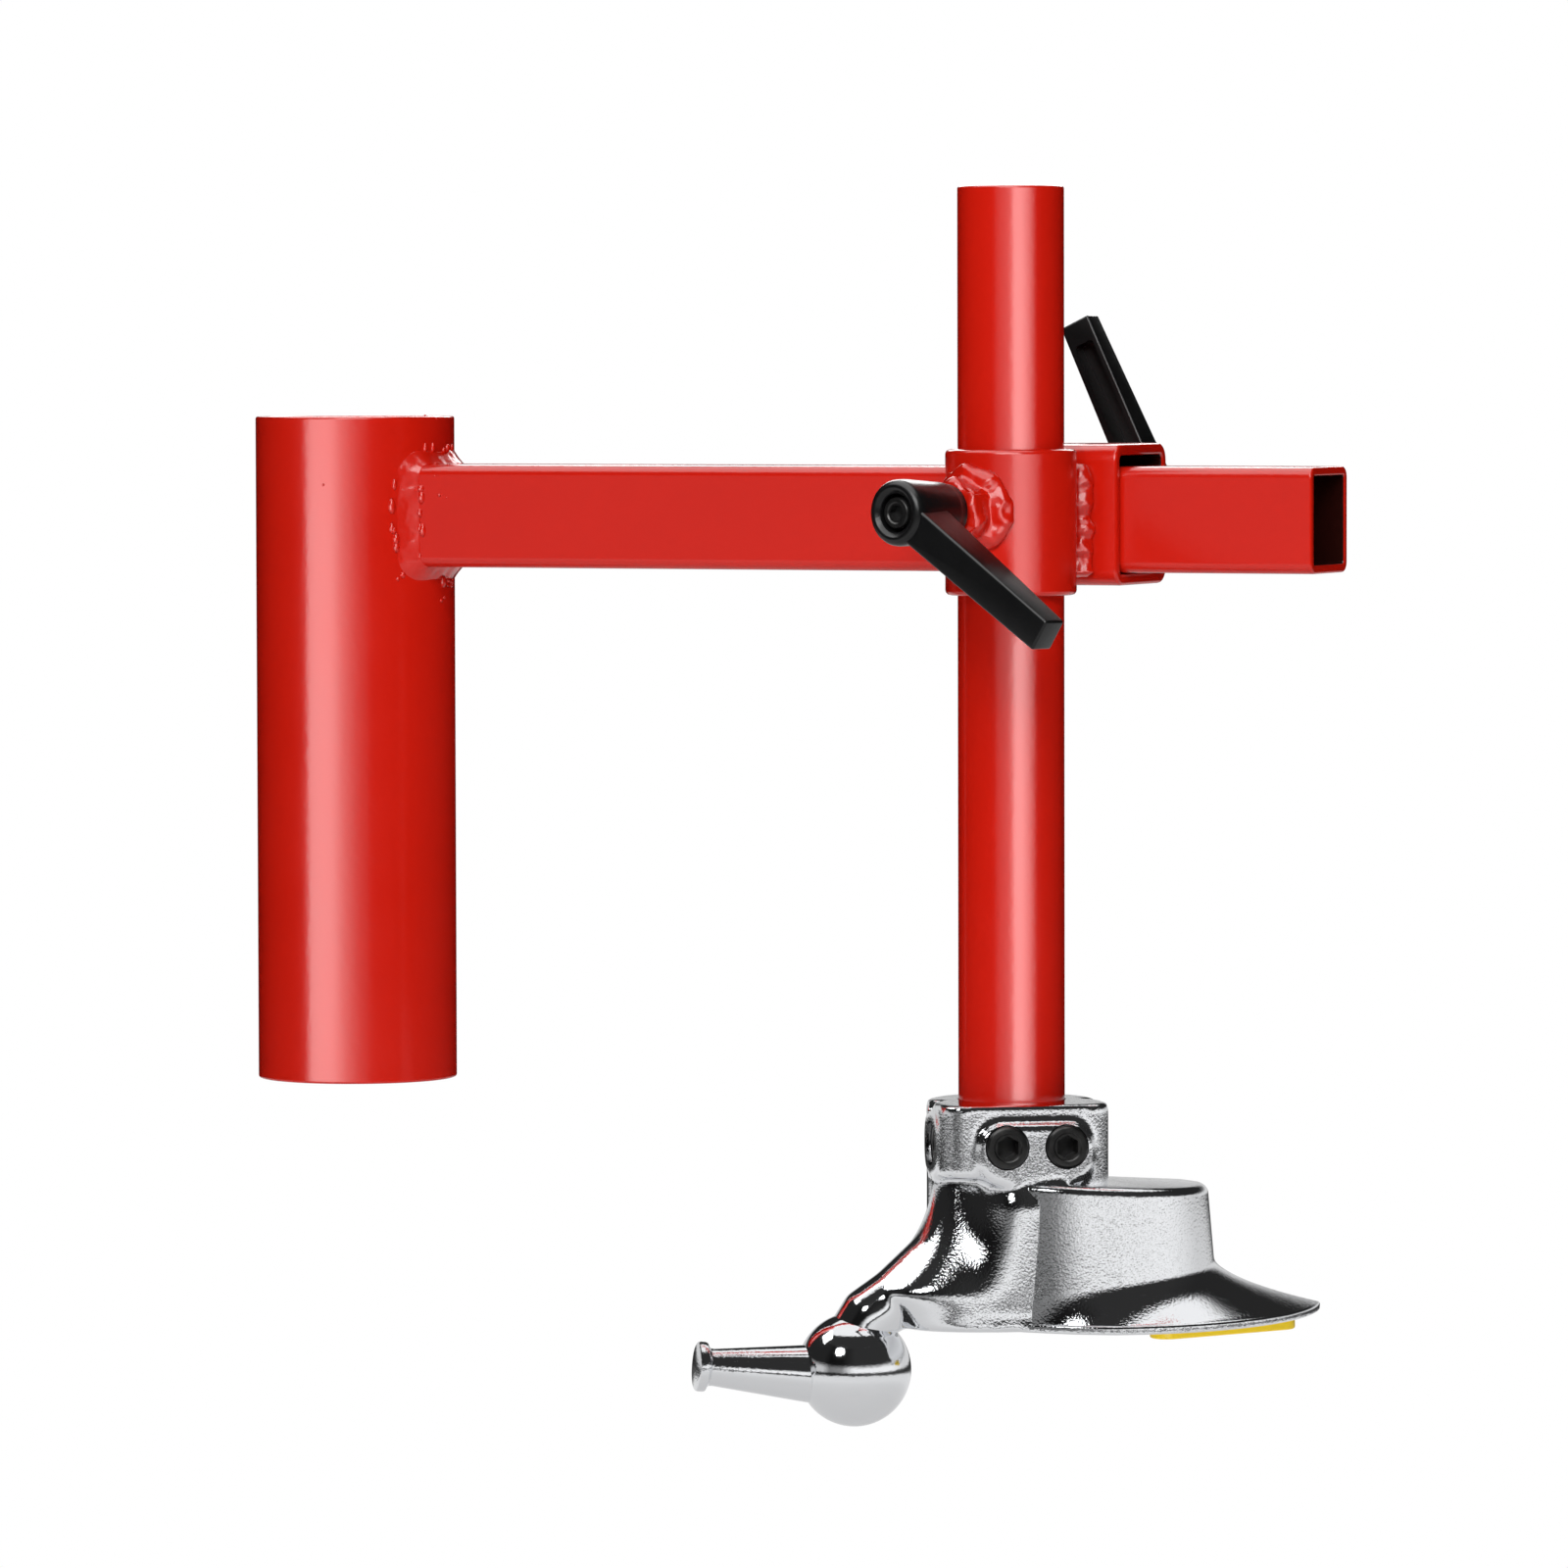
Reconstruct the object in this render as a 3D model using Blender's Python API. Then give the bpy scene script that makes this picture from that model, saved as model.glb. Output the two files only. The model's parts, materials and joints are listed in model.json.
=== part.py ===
"""Swing arm with a mount head for a manual tyre changer.

A sleeve drops over the changer's centre post and carries a square arm. A
bracket slides along the arm, and a round post slides up and down in the
bracket's collar, each held by a clamping lever. A cast head with a bill and
a ball finger is fixed to the foot of the post by set screws.

Metres, +Z up. The origin is on the sleeve's axis, at its lower rim.
"""
import math

import bmesh
import bpy
from mathutils import Matrix, Vector

# Fits
SEAT_GAP = 0.0003
THREAD_PLAY = 0.0006
COLLAR_PLAY = 0.0010
HEAD_BORE_PLAY = 0.0006
BRACKET_PLAY = 0.0034
INSERT_PLAY = 0.0006

# Sleeve over the changer's centre post
SLEEVE_OUTER = 0.0585
SLEEVE_WALL = 0.0035
SLEEVE_LENGTH = 0.195

# Square arm, placed by its distance below the sleeve's top
ARM_SIZE = 0.030
ARM_WALL = 0.0025
ARM_CORNER = 0.0032
ARM_REACH = 0.3046
ARM_BELOW_TOP = 0.029

# Bracket that slides on the arm, and the collar welded to its front
BRACKET_WALL = 0.0033
BRACKET_LENGTH = 0.049
BRACKET_CORNER = 0.0050
BRACKET_REACH = 0.223
COLLAR_WALL = 0.0030
COLLAR_HEIGHT = 0.041
COLLAR_DROP = 0.0003

# Round post
POST_OUTER = 0.030
POST_WALL = 0.0030
POST_ABOVE_ARM = 0.094

# Weld beads
ARM_BEAD = 0.0036
ARM_BEAD_STANDOFF = 0.0012
FRONT_NUT_BEAD = 0.0036
REAR_NUT_BEAD = 0.0022
COLLAR_BEAD = 0.0042
BEAD_SPREAD = 1.5
BEAD_LUMP = 0.0006
BEAD_LUMP_PITCH = 0.0065

# Clamping levers
THREAD_SIZE = 0.010
NUT_ACROSS_FLATS = 0.0165
NUT_HEIGHT = 0.008
FRONT_LEVER_SWING = math.radians(17.0)
FRONT_LEVER_RISE = 0.003
FRONT_LEVER_DROOP = math.radians(-33.0)
REAR_LEVER_SHIFT = 0.013
REAR_LEVER_LEAN = math.radians(64.0)
HUB_OUTER = 0.0186
HUB_BASE = 0.0020
HUB_HEIGHT = 0.0235
HANDLE_LENGTH = 0.061
HANDLE_ROOT_WIDTH = 0.0122
HANDLE_TIP_WIDTH = 0.0086
HANDLE_ROOT_DEPTH = 0.0125
HANDLE_TIP_DEPTH = 0.0082
HANDLE_EDGE = 0.0011
HANDLE_CHANNEL_WIDTH = 0.0046
HANDLE_CHANNEL_FLOOR = 0.0024
HANDLE_CHANNEL_END = 0.007
TOOTH_COUNT = 20
TOOTH_ROOT = 0.0059
TOOTH_HEIGHT = 0.0006
TOOTH_LENGTH = 0.0035
STUD_NECK = 0.0052
STUD_TOP = 0.0105
TAP_DEPTH = 0.0084
LEVER_SCREW_REACH = 0.0063
SHOULDER_THICKNESS = 0.0018
SPRING_CHAMBER = 0.0054
SPRING_RADIUS = 0.0042
SPRING_WIRE = 0.0008
SPRING_TURNS = 4
LEVER_SCREW_SIZE = 0.005
LEVER_SCREW_HEAD = 0.0088
LEVER_SCREW_HEAD_HEIGHT = 0.0042
LEVER_SCREW_SINK = 0.0010
LEVER_SCREW_SOCKET = 0.0042

# Cast head, measured down from its top face
HEAD_BELOW_ARM = 0.163
HEAD_TURN = math.radians(34.0)
BOSS_WIDTH = 0.048
BOSS_CORNER = 0.007
BOSS_HEIGHT = 0.0242
BOSS_ROOT = 0.030
BORE_DEPTH = 0.045
PAD_WIDTH = 0.033
PAD_HEIGHT = 0.018
PAD_DROP = 0.0140
PAD_RAISE = 0.0030
SIDE_PAD_RAISE = 0.0008
DECK_RADIUS = 0.036
DECK_SHIFT = 0.020
DECK_BACK = 0.006
WALL_DRAFT = 0.0016
WALL_FOOT_LEFT = 0.0585
WALL_FOOT_RIGHT = 0.0450
FLANGE_GROWTH_ARC = math.radians(125.0)
FLANGE_WIDTH = 0.0025
BILL_WIDTH = 0.033
HEEL_WIDTH = 0.010
HEEL_RISE = 0.020
RIM_THICKNESS = 0.0026
SOLE_DROP = 0.0630
FILLET_REACH = 0.05
FILLET_DEPTH = 0.45
BILL_LIFT = 0.0022
BALL_RADIUS = 0.0160
BALL_CENTRE = Vector((-0.0450, -0.0080, -0.0760))
PEG_ROOT_RADIUS = 0.0078
PEG_TIP_RADIUS = 0.0050
PEG_FLANGE_RADIUS = 0.0070
PEG_FLANGE_THICKNESS = 0.0030
PEG_LENGTH = 0.047
PEG_DROP = 0.0020
PEG_RISE = math.radians(6.0)
CASTING_GRAIN = 0.0012
CASTING_SOFTENING = 8
CASTING_FACES_KEPT = 0.06

# Set screws and bill insert
SET_SCREW_SIZE = 0.012
SET_SCREW_SPACING = 0.017
SET_SCREW_DROP = 0.0115
SET_SCREW_PROUD = 0.0012
SET_SCREW_SOCKET = 0.006
SET_SCREW_EDGE = 0.0008
SIDE_SCREW_SHIFT = -0.006
SIDE_SCREW_SINK = 0.0015
INSERT_LENGTH = 0.042
INSERT_WIDTH = 0.010
INSERT_THICKNESS = 0.0046
INSERT_PROUD = 0.0024
INSERT_OUT = 0.0060
INSERT_FORWARD = 0.0165
INSERT_TURN = math.radians(27.0)

# Places that follow from the sizes above
SLEEVE_RADIUS = SLEEVE_OUTER / 2
ARM_HEIGHT = SLEEVE_LENGTH - ARM_BELOW_TOP
ARM_HALF = ARM_SIZE / 2
BRACKET_INNER = ARM_SIZE + BRACKET_PLAY
BRACKET_SIZE = BRACKET_INNER + 2 * BRACKET_WALL
BRACKET_OFFSET = BRACKET_PLAY / 2 - SEAT_GAP
BRACKET_FRONT = BRACKET_OFFSET - BRACKET_SIZE / 2
BRACKET_BACK = BRACKET_OFFSET + BRACKET_SIZE / 2
POST_RADIUS = POST_OUTER / 2
COLLAR_INNER_RADIUS = POST_RADIUS + COLLAR_PLAY / 2
COLLAR_RADIUS = COLLAR_INNER_RADIUS + COLLAR_WALL
POST_AXIS = Vector((BRACKET_REACH, BRACKET_FRONT - SEAT_GAP - COLLAR_RADIUS, 0.0))
POST_TOP = ARM_HEIGHT + POST_ABOVE_ARM
HEAD_TOP = ARM_HEIGHT - HEAD_BELOW_ARM
POST_FOOT = HEAD_TOP - BORE_DEPTH + SEAT_GAP
FRONT_NUT_FACE = COLLAR_RADIUS + NUT_HEIGHT
REAR_NUT_FACE = BRACKET_BACK + SEAT_GAP + NUT_HEIGHT
HUB_TOP = HUB_BASE + HUB_HEIGHT

TOOTH_START = HUB_BASE - SEAT_GAP
TOOTH_END = TOOTH_START + TOOTH_LENGTH
SHOULDER_FOOT = STUD_TOP + SEAT_GAP
SHOULDER_TOP = SHOULDER_FOOT + SHOULDER_THICKNESS
SCREW_TOP = HUB_TOP - LEVER_SCREW_SINK
SCREW_SEAT = SCREW_TOP - LEVER_SCREW_HEAD_HEIGHT
BRACKET_LOW = BRACKET_REACH - BRACKET_LENGTH / 2
BRACKET_HIGH = BRACKET_REACH + BRACKET_LENGTH / 2
COLLAR_LOW = ARM_HEIGHT - COLLAR_DROP - COLLAR_HEIGHT / 2
COLLAR_HIGH = COLLAR_LOW + COLLAR_HEIGHT

# Facet counts
ROUND_SEGMENTS = 64
SMALL_SEGMENTS = 32
HEX_POINTS = 24
TOOTH_POINTS = 2 * TOOTH_COUNT
BEAD_SIDES = 8
ARM_BEAD_POINTS = 56
NUT_BEAD_POINTS = 32
COLLAR_BEAD_POINTS = 18
SPRING_POINTS_A_TURN = 10
BODY_ARC_POINTS = 33
FILLET_STEPS = 7
BACK_SHARES = (0.05, 0.5, 0.95)
NECK_POINTS = 24
SMOOTH_ANGLE = math.radians(35.0)
MERGE_DISTANCE = 1e-6


def clear_scene():
    for old in list(bpy.data.objects):
        bpy.data.objects.remove(old, do_unlink=True)


def make_material(name, colour, roughness, metallic):
    material = bpy.data.materials.new(name)
    material.use_nodes = True
    shader = material.node_tree.nodes["Principled BSDF"]
    shader.inputs["Base Color"].default_value = (*colour, 1.0)
    shader.inputs["Roughness"].default_value = roughness
    shader.inputs["Metallic"].default_value = metallic
    return material


def make_frame(name, matrix):
    frame = bpy.data.objects.new(name, None)
    frame.matrix_world = matrix
    bpy.context.collection.objects.link(frame)
    return frame


def make_object(name, shape, material=None, parent=None):
    """Turn a bmesh into a named object with its faces pointing out."""
    bmesh.ops.recalc_face_normals(shape, faces=shape.faces)
    mesh = bpy.data.meshes.new(name)
    shape.to_mesh(mesh)
    shape.free()
    mesh.shade_smooth()
    mesh.set_sharp_from_angle(angle=SMOOTH_ANGLE)
    piece = bpy.data.objects.new(name, mesh)
    bpy.context.collection.objects.link(piece)
    if material:
        mesh.materials.append(material)
    if parent:
        piece.parent = parent
    return piece


def make_cutter(name, shape, parent=None):
    cutter = make_object(name, shape, parent=parent)
    cutter.hide_render = True
    cutter.display_type = "WIRE"
    return cutter


def boolean(piece, tool, operation="DIFFERENCE"):
    modifier = piece.modifiers.new(operation.lower() + "_" + tool.name, "BOOLEAN")
    modifier.operation = operation
    modifier.object = tool


def bevel(piece, width, segments=2):
    modifier = piece.modifiers.new("rounded_edges", "BEVEL")
    modifier.width = width
    modifier.segments = segments
    modifier.angle_limit = math.radians(40.0)


def ring(radius, segments):
    turns = [2 * math.pi * step / segments for step in range(segments)]
    return [Vector((radius * math.cos(turn), radius * math.sin(turn))) for turn in turns]


def hexagon_ring(across_flats):
    """Hexagon drawn with as many points as the round rings that it is lofted to."""
    points = []
    for point in ring(1.0, HEX_POINTS):
        turn = math.atan2(point.y, point.x)
        off_flat = (turn + math.pi / 6) % (math.pi / 3) - math.pi / 6
        points.append(point * (across_flats / 2 / math.cos(off_flat)))
    return points


def toothed_ring(clearance):
    """Outline of the stud's teeth, or of the socket that they fit with a clearance."""
    points = []
    for index, point in enumerate(ring(1.0, TOOTH_POINTS)):
        points.append(point * (TOOTH_ROOT + clearance + TOOTH_HEIGHT * (index % 2)))
    return points


def rounded_rectangle(width, height, corner, steps=5):
    """Outline with round corners, anticlockwise from the right."""
    centres = (
        (width / 2 - corner, height / 2 - corner),
        (corner - width / 2, height / 2 - corner),
        (corner - width / 2, corner - height / 2),
        (width / 2 - corner, corner - height / 2),
    )
    outline = []
    for quarter, (x, y) in enumerate(centres):
        for step in range(steps):
            turn = math.pi / 2 * (quarter + step / (steps - 1))
            point = Vector((x + corner * math.cos(turn), y + corner * math.sin(turn)))
            if not outline or (point - outline[-1]).length > MERGE_DISTANCE:
                outline.append(point)
    if (outline[0] - outline[-1]).length < MERGE_DISTANCE:
        outline.pop()
    return outline


def spread_evenly(outline, count):
    """Points at equal steps round a closed outline."""
    closed = outline + [outline[0]]
    lengths = [(after - before).length for before, after in zip(closed, closed[1:])]
    step = sum(lengths) / count
    points = []
    for index in range(count):
        left = index * step
        edge = 0
        while left > lengths[edge]:
            left -= lengths[edge]
            edge += 1
        points.append(closed[edge].lerp(closed[edge + 1], left / lengths[edge]))
    return points


def upright_rectangle(along, width, low, high):
    """Cross-section of a lever's bar at one station along it."""
    half = width / 2
    return [(along, -half, low), (along, half, low), (along, half, high), (along, -half, high)]


def stack(steps):
    """Flat outlines at their heights, as rings for a loft."""
    return [[(point.x, point.y, height) for point in outline] for outline, height in steps]


def bridge(shape, lower, upper):
    count = len(lower)
    for index in range(count):
        after = (index + 1) % count
        shape.faces.new((lower[index], lower[after], upper[after], upper[index]))


def loft(shape, rings, capped=True):
    """Bridge rings of equal count into a wall, with a flat cap at each end."""
    loops = [[shape.verts.new(point) for point in points] for points in rings]
    for lower, upper in zip(loops, loops[1:]):
        bridge(shape, lower, upper)
    if capped:
        shape.faces.new(loops[0])
        shape.faces.new(loops[-1])
    return loops


def prism(shape, outline, low, high):
    return loft(shape, stack([(outline, low), (outline, high)]))


def revolve(shape, profile, segments=ROUND_SEGMENTS):
    """Turn a profile of (radius, height) pairs about Z, closed flat at both ends."""
    return loft(shape, stack([(ring(radius, segments), height) for radius, height in profile]))


def hollow_section(shape, outer, inner, low, high):
    """Extrude the wall between two outlines of equal count along Z."""
    loops = loft(shape, stack([(outer, low), (outer, high), (inner, high), (inner, low)]), capped=False)
    bridge(shape, loops[-1], loops[0])


def round_tube(name, outer_radius, wall, low, high, material):
    shape = bmesh.new()
    hollow_section(
        shape, ring(outer_radius, ROUND_SEGMENTS), ring(outer_radius - wall, ROUND_SEGMENTS), low, high
    )
    return make_object(name, shape, material)


def lay_along_x(shape):
    bmesh.ops.transform(shape, matrix=Matrix.Rotation(math.pi / 2, 4, "Y"), verts=shape.verts)


def square_tube(name, size, wall, corner, low, high, material):
    """Square tube running along +X between two stations."""
    shape = bmesh.new()
    inner_size = size - 2 * wall
    inner_corner = max(corner - wall, corner / 4)
    hollow_section(
        shape, rounded_rectangle(size, size, corner), rounded_rectangle(inner_size, inner_size, inner_corner),
        low, high,
    )
    lay_along_x(shape)
    return make_object(name, shape, material)


def bar_cutter(name, size, corner, low, high, back, height):
    """Solid square bar along +X, the space that a square tube takes up."""
    shape = bmesh.new()
    prism(shape, rounded_rectangle(size, size, corner), low, high)
    lay_along_x(shape)
    cutter = make_cutter(name, shape)
    cutter.location = (0.0, back, height)
    return cutter


def rod_cutter(name, radius, low, high, parent=None, segments=ROUND_SEGMENTS):
    shape = bmesh.new()
    revolve(shape, [(radius, low), (radius, high)], segments)
    return make_cutter(name, shape, parent)


def bead(shape, route, radius, spindle, closed=True, spread=1.0):
    """Lumpy weld bead along a route that runs square to its spindle, along which it may spread."""
    count = len(route)
    rings = []
    travelled = 0.0
    for index, centre in enumerate(route):
        before = route[index - 1] if closed or index else centre
        after = route[(index + 1) % count] if closed or index < count - 1 else centre
        along = (after - before).normalized()
        up = spindle.cross(along).normalized()
        if index:
            travelled += (centre - before).length
        swell = radius + BEAD_LUMP * math.sin(2 * math.pi * travelled / BEAD_LUMP_PITCH)
        if not closed and index in (0, count - 1):
            swell = radius / 2
        rings.append([centre + swell * (spindle * (p.x * spread) + up * p.y) for p in ring(1.0, BEAD_SIDES)])
    loops = loft(shape, rings, capped=not closed)
    if closed:
        bridge(shape, loops[-1], loops[0])


def make_sleeve(paint):
    return round_tube("post_sleeve", SLEEVE_RADIUS, SLEEVE_WALL, 0.0, SLEEVE_LENGTH, paint)


def make_arm(paint, sleeve_space):
    arm = square_tube("swing_arm", ARM_SIZE, ARM_WALL, ARM_CORNER, SLEEVE_RADIUS / 2, ARM_REACH, paint)
    arm.location.z = ARM_HEIGHT
    boolean(arm, sleeve_space)
    return arm


def make_arm_weld(paint, sleeve_space):
    """Bead round the arm where it meets the sleeve's curved wall."""
    shape = bmesh.new()
    size = ARM_SIZE + 2 * ARM_BEAD_STANDOFF
    outline = spread_evenly(rounded_rectangle(size, size, ARM_CORNER + ARM_BEAD_STANDOFF), ARM_BEAD_POINTS)
    route = []
    for point in outline:
        wall = math.sqrt(SLEEVE_RADIUS**2 - point.x**2)
        route.append(Vector((wall, point.x, ARM_HEIGHT + point.y)))
    bead(shape, route, ARM_BEAD, Vector((1, 0, 0)), spread=BEAD_SPREAD)
    weld = make_object("arm_weld", shape, paint)
    clear_size = ARM_SIZE + 2 * SEAT_GAP
    boolean(weld, sleeve_space)
    boolean(weld, bar_cutter("arm_space", clear_size, ARM_CORNER, 0.0, ARM_REACH, 0.0, ARM_HEIGHT))
    return weld


def make_bracket(paint, rear_bore):
    bracket = square_tube(
        "arm_bracket", BRACKET_SIZE, BRACKET_WALL, BRACKET_CORNER, BRACKET_LOW, BRACKET_HIGH, paint
    )
    bracket.location.y = BRACKET_OFFSET
    bracket.location.z = ARM_HEIGHT + BRACKET_OFFSET
    boolean(bracket, rear_bore)
    return bracket


def make_collar(paint, front_bore):
    collar = round_tube("post_collar", COLLAR_RADIUS, COLLAR_WALL, COLLAR_LOW, COLLAR_HIGH, paint)
    collar.location.xy = POST_AXIS.xy
    boolean(collar, front_bore)
    return collar


def make_collar_weld(name, paint, side, collar_space, bracket_space):
    """Bead down one side of the collar, in the corner that it makes with the bracket."""
    reach = math.sqrt(COLLAR_RADIUS**2 - (COLLAR_RADIUS - COLLAR_BEAD) ** 2) + COLLAR_BEAD / 2
    low = COLLAR_LOW + COLLAR_BEAD
    rise = (COLLAR_HEIGHT - 2 * COLLAR_BEAD) / (COLLAR_BEAD_POINTS - 1)
    across = POST_AXIS.x + side * reach
    route = [Vector((across, BRACKET_FRONT, low + rise * step)) for step in range(COLLAR_BEAD_POINTS)]
    shape = bmesh.new()
    bead(shape, route, COLLAR_BEAD, Vector((1, 0, 0)), closed=False)
    weld = make_object(name, shape, paint)
    boolean(weld, collar_space)
    boolean(weld, bracket_space)
    return weld


def make_post(paint):
    post = round_tube("drop_post", POST_RADIUS, POST_WALL, POST_FOOT, POST_TOP, paint)
    post.location.xy = POST_AXIS.xy
    return post


def make_clamp_nut(name, paint, frame, base, seat=None):
    """Hexagon nut welded over a clamp bore, coped where its seat is round."""
    shape = bmesh.new()
    bore = ring(THREAD_SIZE / 2 + THREAD_PLAY / 2, HEX_POINTS)
    hollow_section(shape, hexagon_ring(NUT_ACROSS_FLATS), bore, base, 0.0)
    nut = make_object(name, shape, paint, frame)
    if seat:
        boolean(nut, seat)
    return nut


def make_nut_weld(name, paint, frame, size, nut_space, seat_space, seat_radius):
    """Bead round a nut, lying on a flat wall or on a round one of the given radius."""
    shape = bmesh.new()
    route = []
    for point in ring(NUT_ACROSS_FLATS / 2 + size / 3, NUT_BEAD_POINTS):
        sag = seat_radius - math.sqrt(seat_radius**2 - point.x**2) if seat_radius else 0.0
        route.append(Vector((point.x, point.y, -NUT_HEIGHT - sag)))
    bead(shape, route, size, Vector((0, 0, 1)))
    weld = make_object(name, shape, paint, frame)
    boolean(weld, seat_space)
    boolean(weld, nut_space)
    return weld


def make_lever_stud(name, steel, frame, tip):
    """Threaded stud with a short toothed collar, a plain neck and a tapped end."""
    thread = THREAD_SIZE / 2
    chamfer = thread / 6
    teeth = toothed_ring(0.0)
    tapped = LEVER_SCREW_SIZE / 2 + SEAT_GAP
    tap_floor = STUD_TOP - TAP_DEPTH
    steps = [
        (ring(thread - chamfer, TOOTH_POINTS), tip),
        (ring(thread, TOOTH_POINTS), tip + chamfer),
        (ring(thread, TOOTH_POINTS), TOOTH_START),
        (teeth, TOOTH_START),
        (teeth, TOOTH_END),
        (ring(STUD_NECK, TOOTH_POINTS), TOOTH_END),
        (ring(STUD_NECK, TOOTH_POINTS), STUD_TOP),
        (ring(tapped, TOOTH_POINTS), STUD_TOP),
        (ring(tapped, TOOTH_POINTS), tap_floor),
    ]
    shape = bmesh.new()
    loft(shape, stack(steps))
    return make_object(name, shape, steel, frame)


def make_lever_handle(name, black, frame):
    """Hub with a toothed socket and a spring chamber, and a tapered bar hollowed below."""
    hub = HUB_OUTER / 2
    screw_way = LEVER_SCREW_SIZE / 2 + 2 * SEAT_GAP
    socket = toothed_ring(SEAT_GAP)
    neck_way = ring(STUD_NECK + SEAT_GAP, TOOTH_POINTS)
    steps = [
        (ring(hub, TOOTH_POINTS), HUB_BASE),
        (ring(hub, TOOTH_POINTS), HUB_TOP - HANDLE_EDGE),
        (ring(hub - HANDLE_EDGE, TOOTH_POINTS), HUB_TOP),
        (ring(SPRING_CHAMBER, TOOTH_POINTS), HUB_TOP),
        (ring(SPRING_CHAMBER, TOOTH_POINTS), SHOULDER_TOP),
        (ring(screw_way, TOOTH_POINTS), SHOULDER_TOP),
        (ring(screw_way, TOOTH_POINTS), SHOULDER_FOOT),
        (neck_way, SHOULDER_FOOT),
        (neck_way, TOOTH_END + SEAT_GAP),
        (socket, TOOTH_END + SEAT_GAP),
        (socket, HUB_BASE),
    ]
    shape = bmesh.new()
    loops = loft(shape, stack(steps), capped=False)
    bridge(shape, loops[-1], loops[0])
    handle = make_object(name, shape, black, frame)

    root = (hub + SPRING_CHAMBER) / 2 - HANDLE_EDGE
    root_top = HUB_TOP - HANDLE_EDGE
    tip_top = HUB_TOP - HANDLE_EDGE / 2
    stations = [
        (root, HANDLE_ROOT_WIDTH, root_top - HANDLE_ROOT_DEPTH, root_top),
        (HANDLE_LENGTH, HANDLE_TIP_WIDTH, tip_top - HANDLE_TIP_DEPTH, tip_top),
    ]
    bar_shape = bmesh.new()
    loft(bar_shape, [upright_rectangle(*station) for station in stations])
    bar = make_cutter(name + "_bar", bar_shape, frame)
    bevel(bar, HANDLE_EDGE)
    boolean(handle, bar, "UNION")

    channel_start = hub + HANDLE_CHANNEL_END
    channel_end = HANDLE_LENGTH - HANDLE_CHANNEL_END
    channel_floor = root_top - HANDLE_CHANNEL_FLOOR
    channel_mouth = HUB_TOP - 2 * HANDLE_ROOT_DEPTH
    channel_shape = bmesh.new()
    loft(channel_shape, [
        upright_rectangle(station, HANDLE_CHANNEL_WIDTH, channel_mouth, channel_floor)
        for station in (channel_start, channel_end)
    ])
    boolean(handle, make_cutter(name + "_channel", channel_shape, frame))
    return handle


def make_lever_screw(name, steel, frame):
    """Socket screw that holds the handle and its spring on the stud."""
    shank = LEVER_SCREW_SIZE / 2
    head = LEVER_SCREW_HEAD / 2
    socket = hexagon_ring(LEVER_SCREW_SOCKET)
    steps = [
        (ring(shank, HEX_POINTS), STUD_TOP - LEVER_SCREW_REACH),
        (ring(shank, HEX_POINTS), SCREW_SEAT),
        (ring(head, HEX_POINTS), SCREW_SEAT),
        (ring(head, HEX_POINTS), SCREW_TOP - HANDLE_EDGE / 2),
        (ring(head - HANDLE_EDGE / 2, HEX_POINTS), SCREW_TOP),
        (socket, SCREW_TOP),
        (socket, SCREW_TOP - LEVER_SCREW_HEAD_HEIGHT / 2),
    ]
    shape = bmesh.new()
    loft(shape, stack(steps))
    return make_object(name, shape, steel, frame)


def make_lever_spring(name, steel, frame):
    """Compression spring between the handle's shoulder and the screw's head."""
    end_gap = SEAT_GAP + SPRING_WIRE / 2
    low = SHOULDER_TOP + end_gap
    high = SCREW_SEAT - end_gap
    count = SPRING_TURNS * SPRING_POINTS_A_TURN + 1
    curve = bpy.data.curves.new(name, "CURVE")
    curve.dimensions = "3D"
    curve.bevel_depth = SPRING_WIRE / 2
    curve.bevel_resolution = 1
    curve.use_fill_caps = True
    spline = curve.splines.new("POLY")
    spline.points.add(count - 1)
    for index, point in enumerate(spline.points):
        share = index / (count - 1)
        turn = 2 * math.pi * SPRING_TURNS * share
        height = low + (high - low) * share
        point.co = (SPRING_RADIUS * math.cos(turn), SPRING_RADIUS * math.sin(turn), height, 1.0)
    curve.materials.append(steel)
    spring = bpy.data.objects.new(name, curve)
    bpy.context.collection.objects.link(spring)
    spring.parent = frame
    return spring


def outward_frame(name, centre, outward, turn=0.0):
    """Frame with +Z along a level outward direction and +Y up, then turned about +Z."""
    up = Vector((0, 0, 1))
    across = up.cross(outward)
    rotation = Matrix((across, up, outward)).transposed().to_4x4()
    return make_frame(name, Matrix.Translation(centre) @ rotation @ Matrix.Rotation(turn, 4, "Z"))


def make_clamp(side, finishes, centre, outward, turn, tip, base, bead_size, seat_space, seat_radius):
    """One welded nut with the clamping lever that screws into it."""
    nut_frame = outward_frame(side + "_nut_frame", centre, outward)
    lever_frame = outward_frame(side + "_lever_frame", centre, outward, turn)
    shape = bmesh.new()
    prism(shape, hexagon_ring(NUT_ACROSS_FLATS + 2 * SEAT_GAP), -2 * NUT_HEIGHT, NUT_HEIGHT)
    nut_space = make_cutter(side + "_nut_space", shape, nut_frame)
    seat = seat_space if seat_radius else None
    make_clamp_nut(side + "_clamp_nut", finishes["paint"], nut_frame, base, seat)
    weld = side + "_nut_weld"
    make_nut_weld(weld, finishes["paint"], nut_frame, bead_size, nut_space, seat_space, seat_radius)
    make_lever_stud(side + "_lever_stud", finishes["steel"], lever_frame, tip)
    make_lever_handle(side + "_lever_handle", finishes["black"], lever_frame)
    make_lever_spring(side + "_lever_spring", finishes["steel"], lever_frame)
    make_lever_screw(side + "_lever_screw", finishes["oxide"], lever_frame)


def bill_lift(across):
    """How far the sole has risen towards the bill's tip."""
    return BILL_LIFT * max(0.0, across - DECK_SHIFT) / (DECK_RADIUS + BILL_WIDTH)


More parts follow.
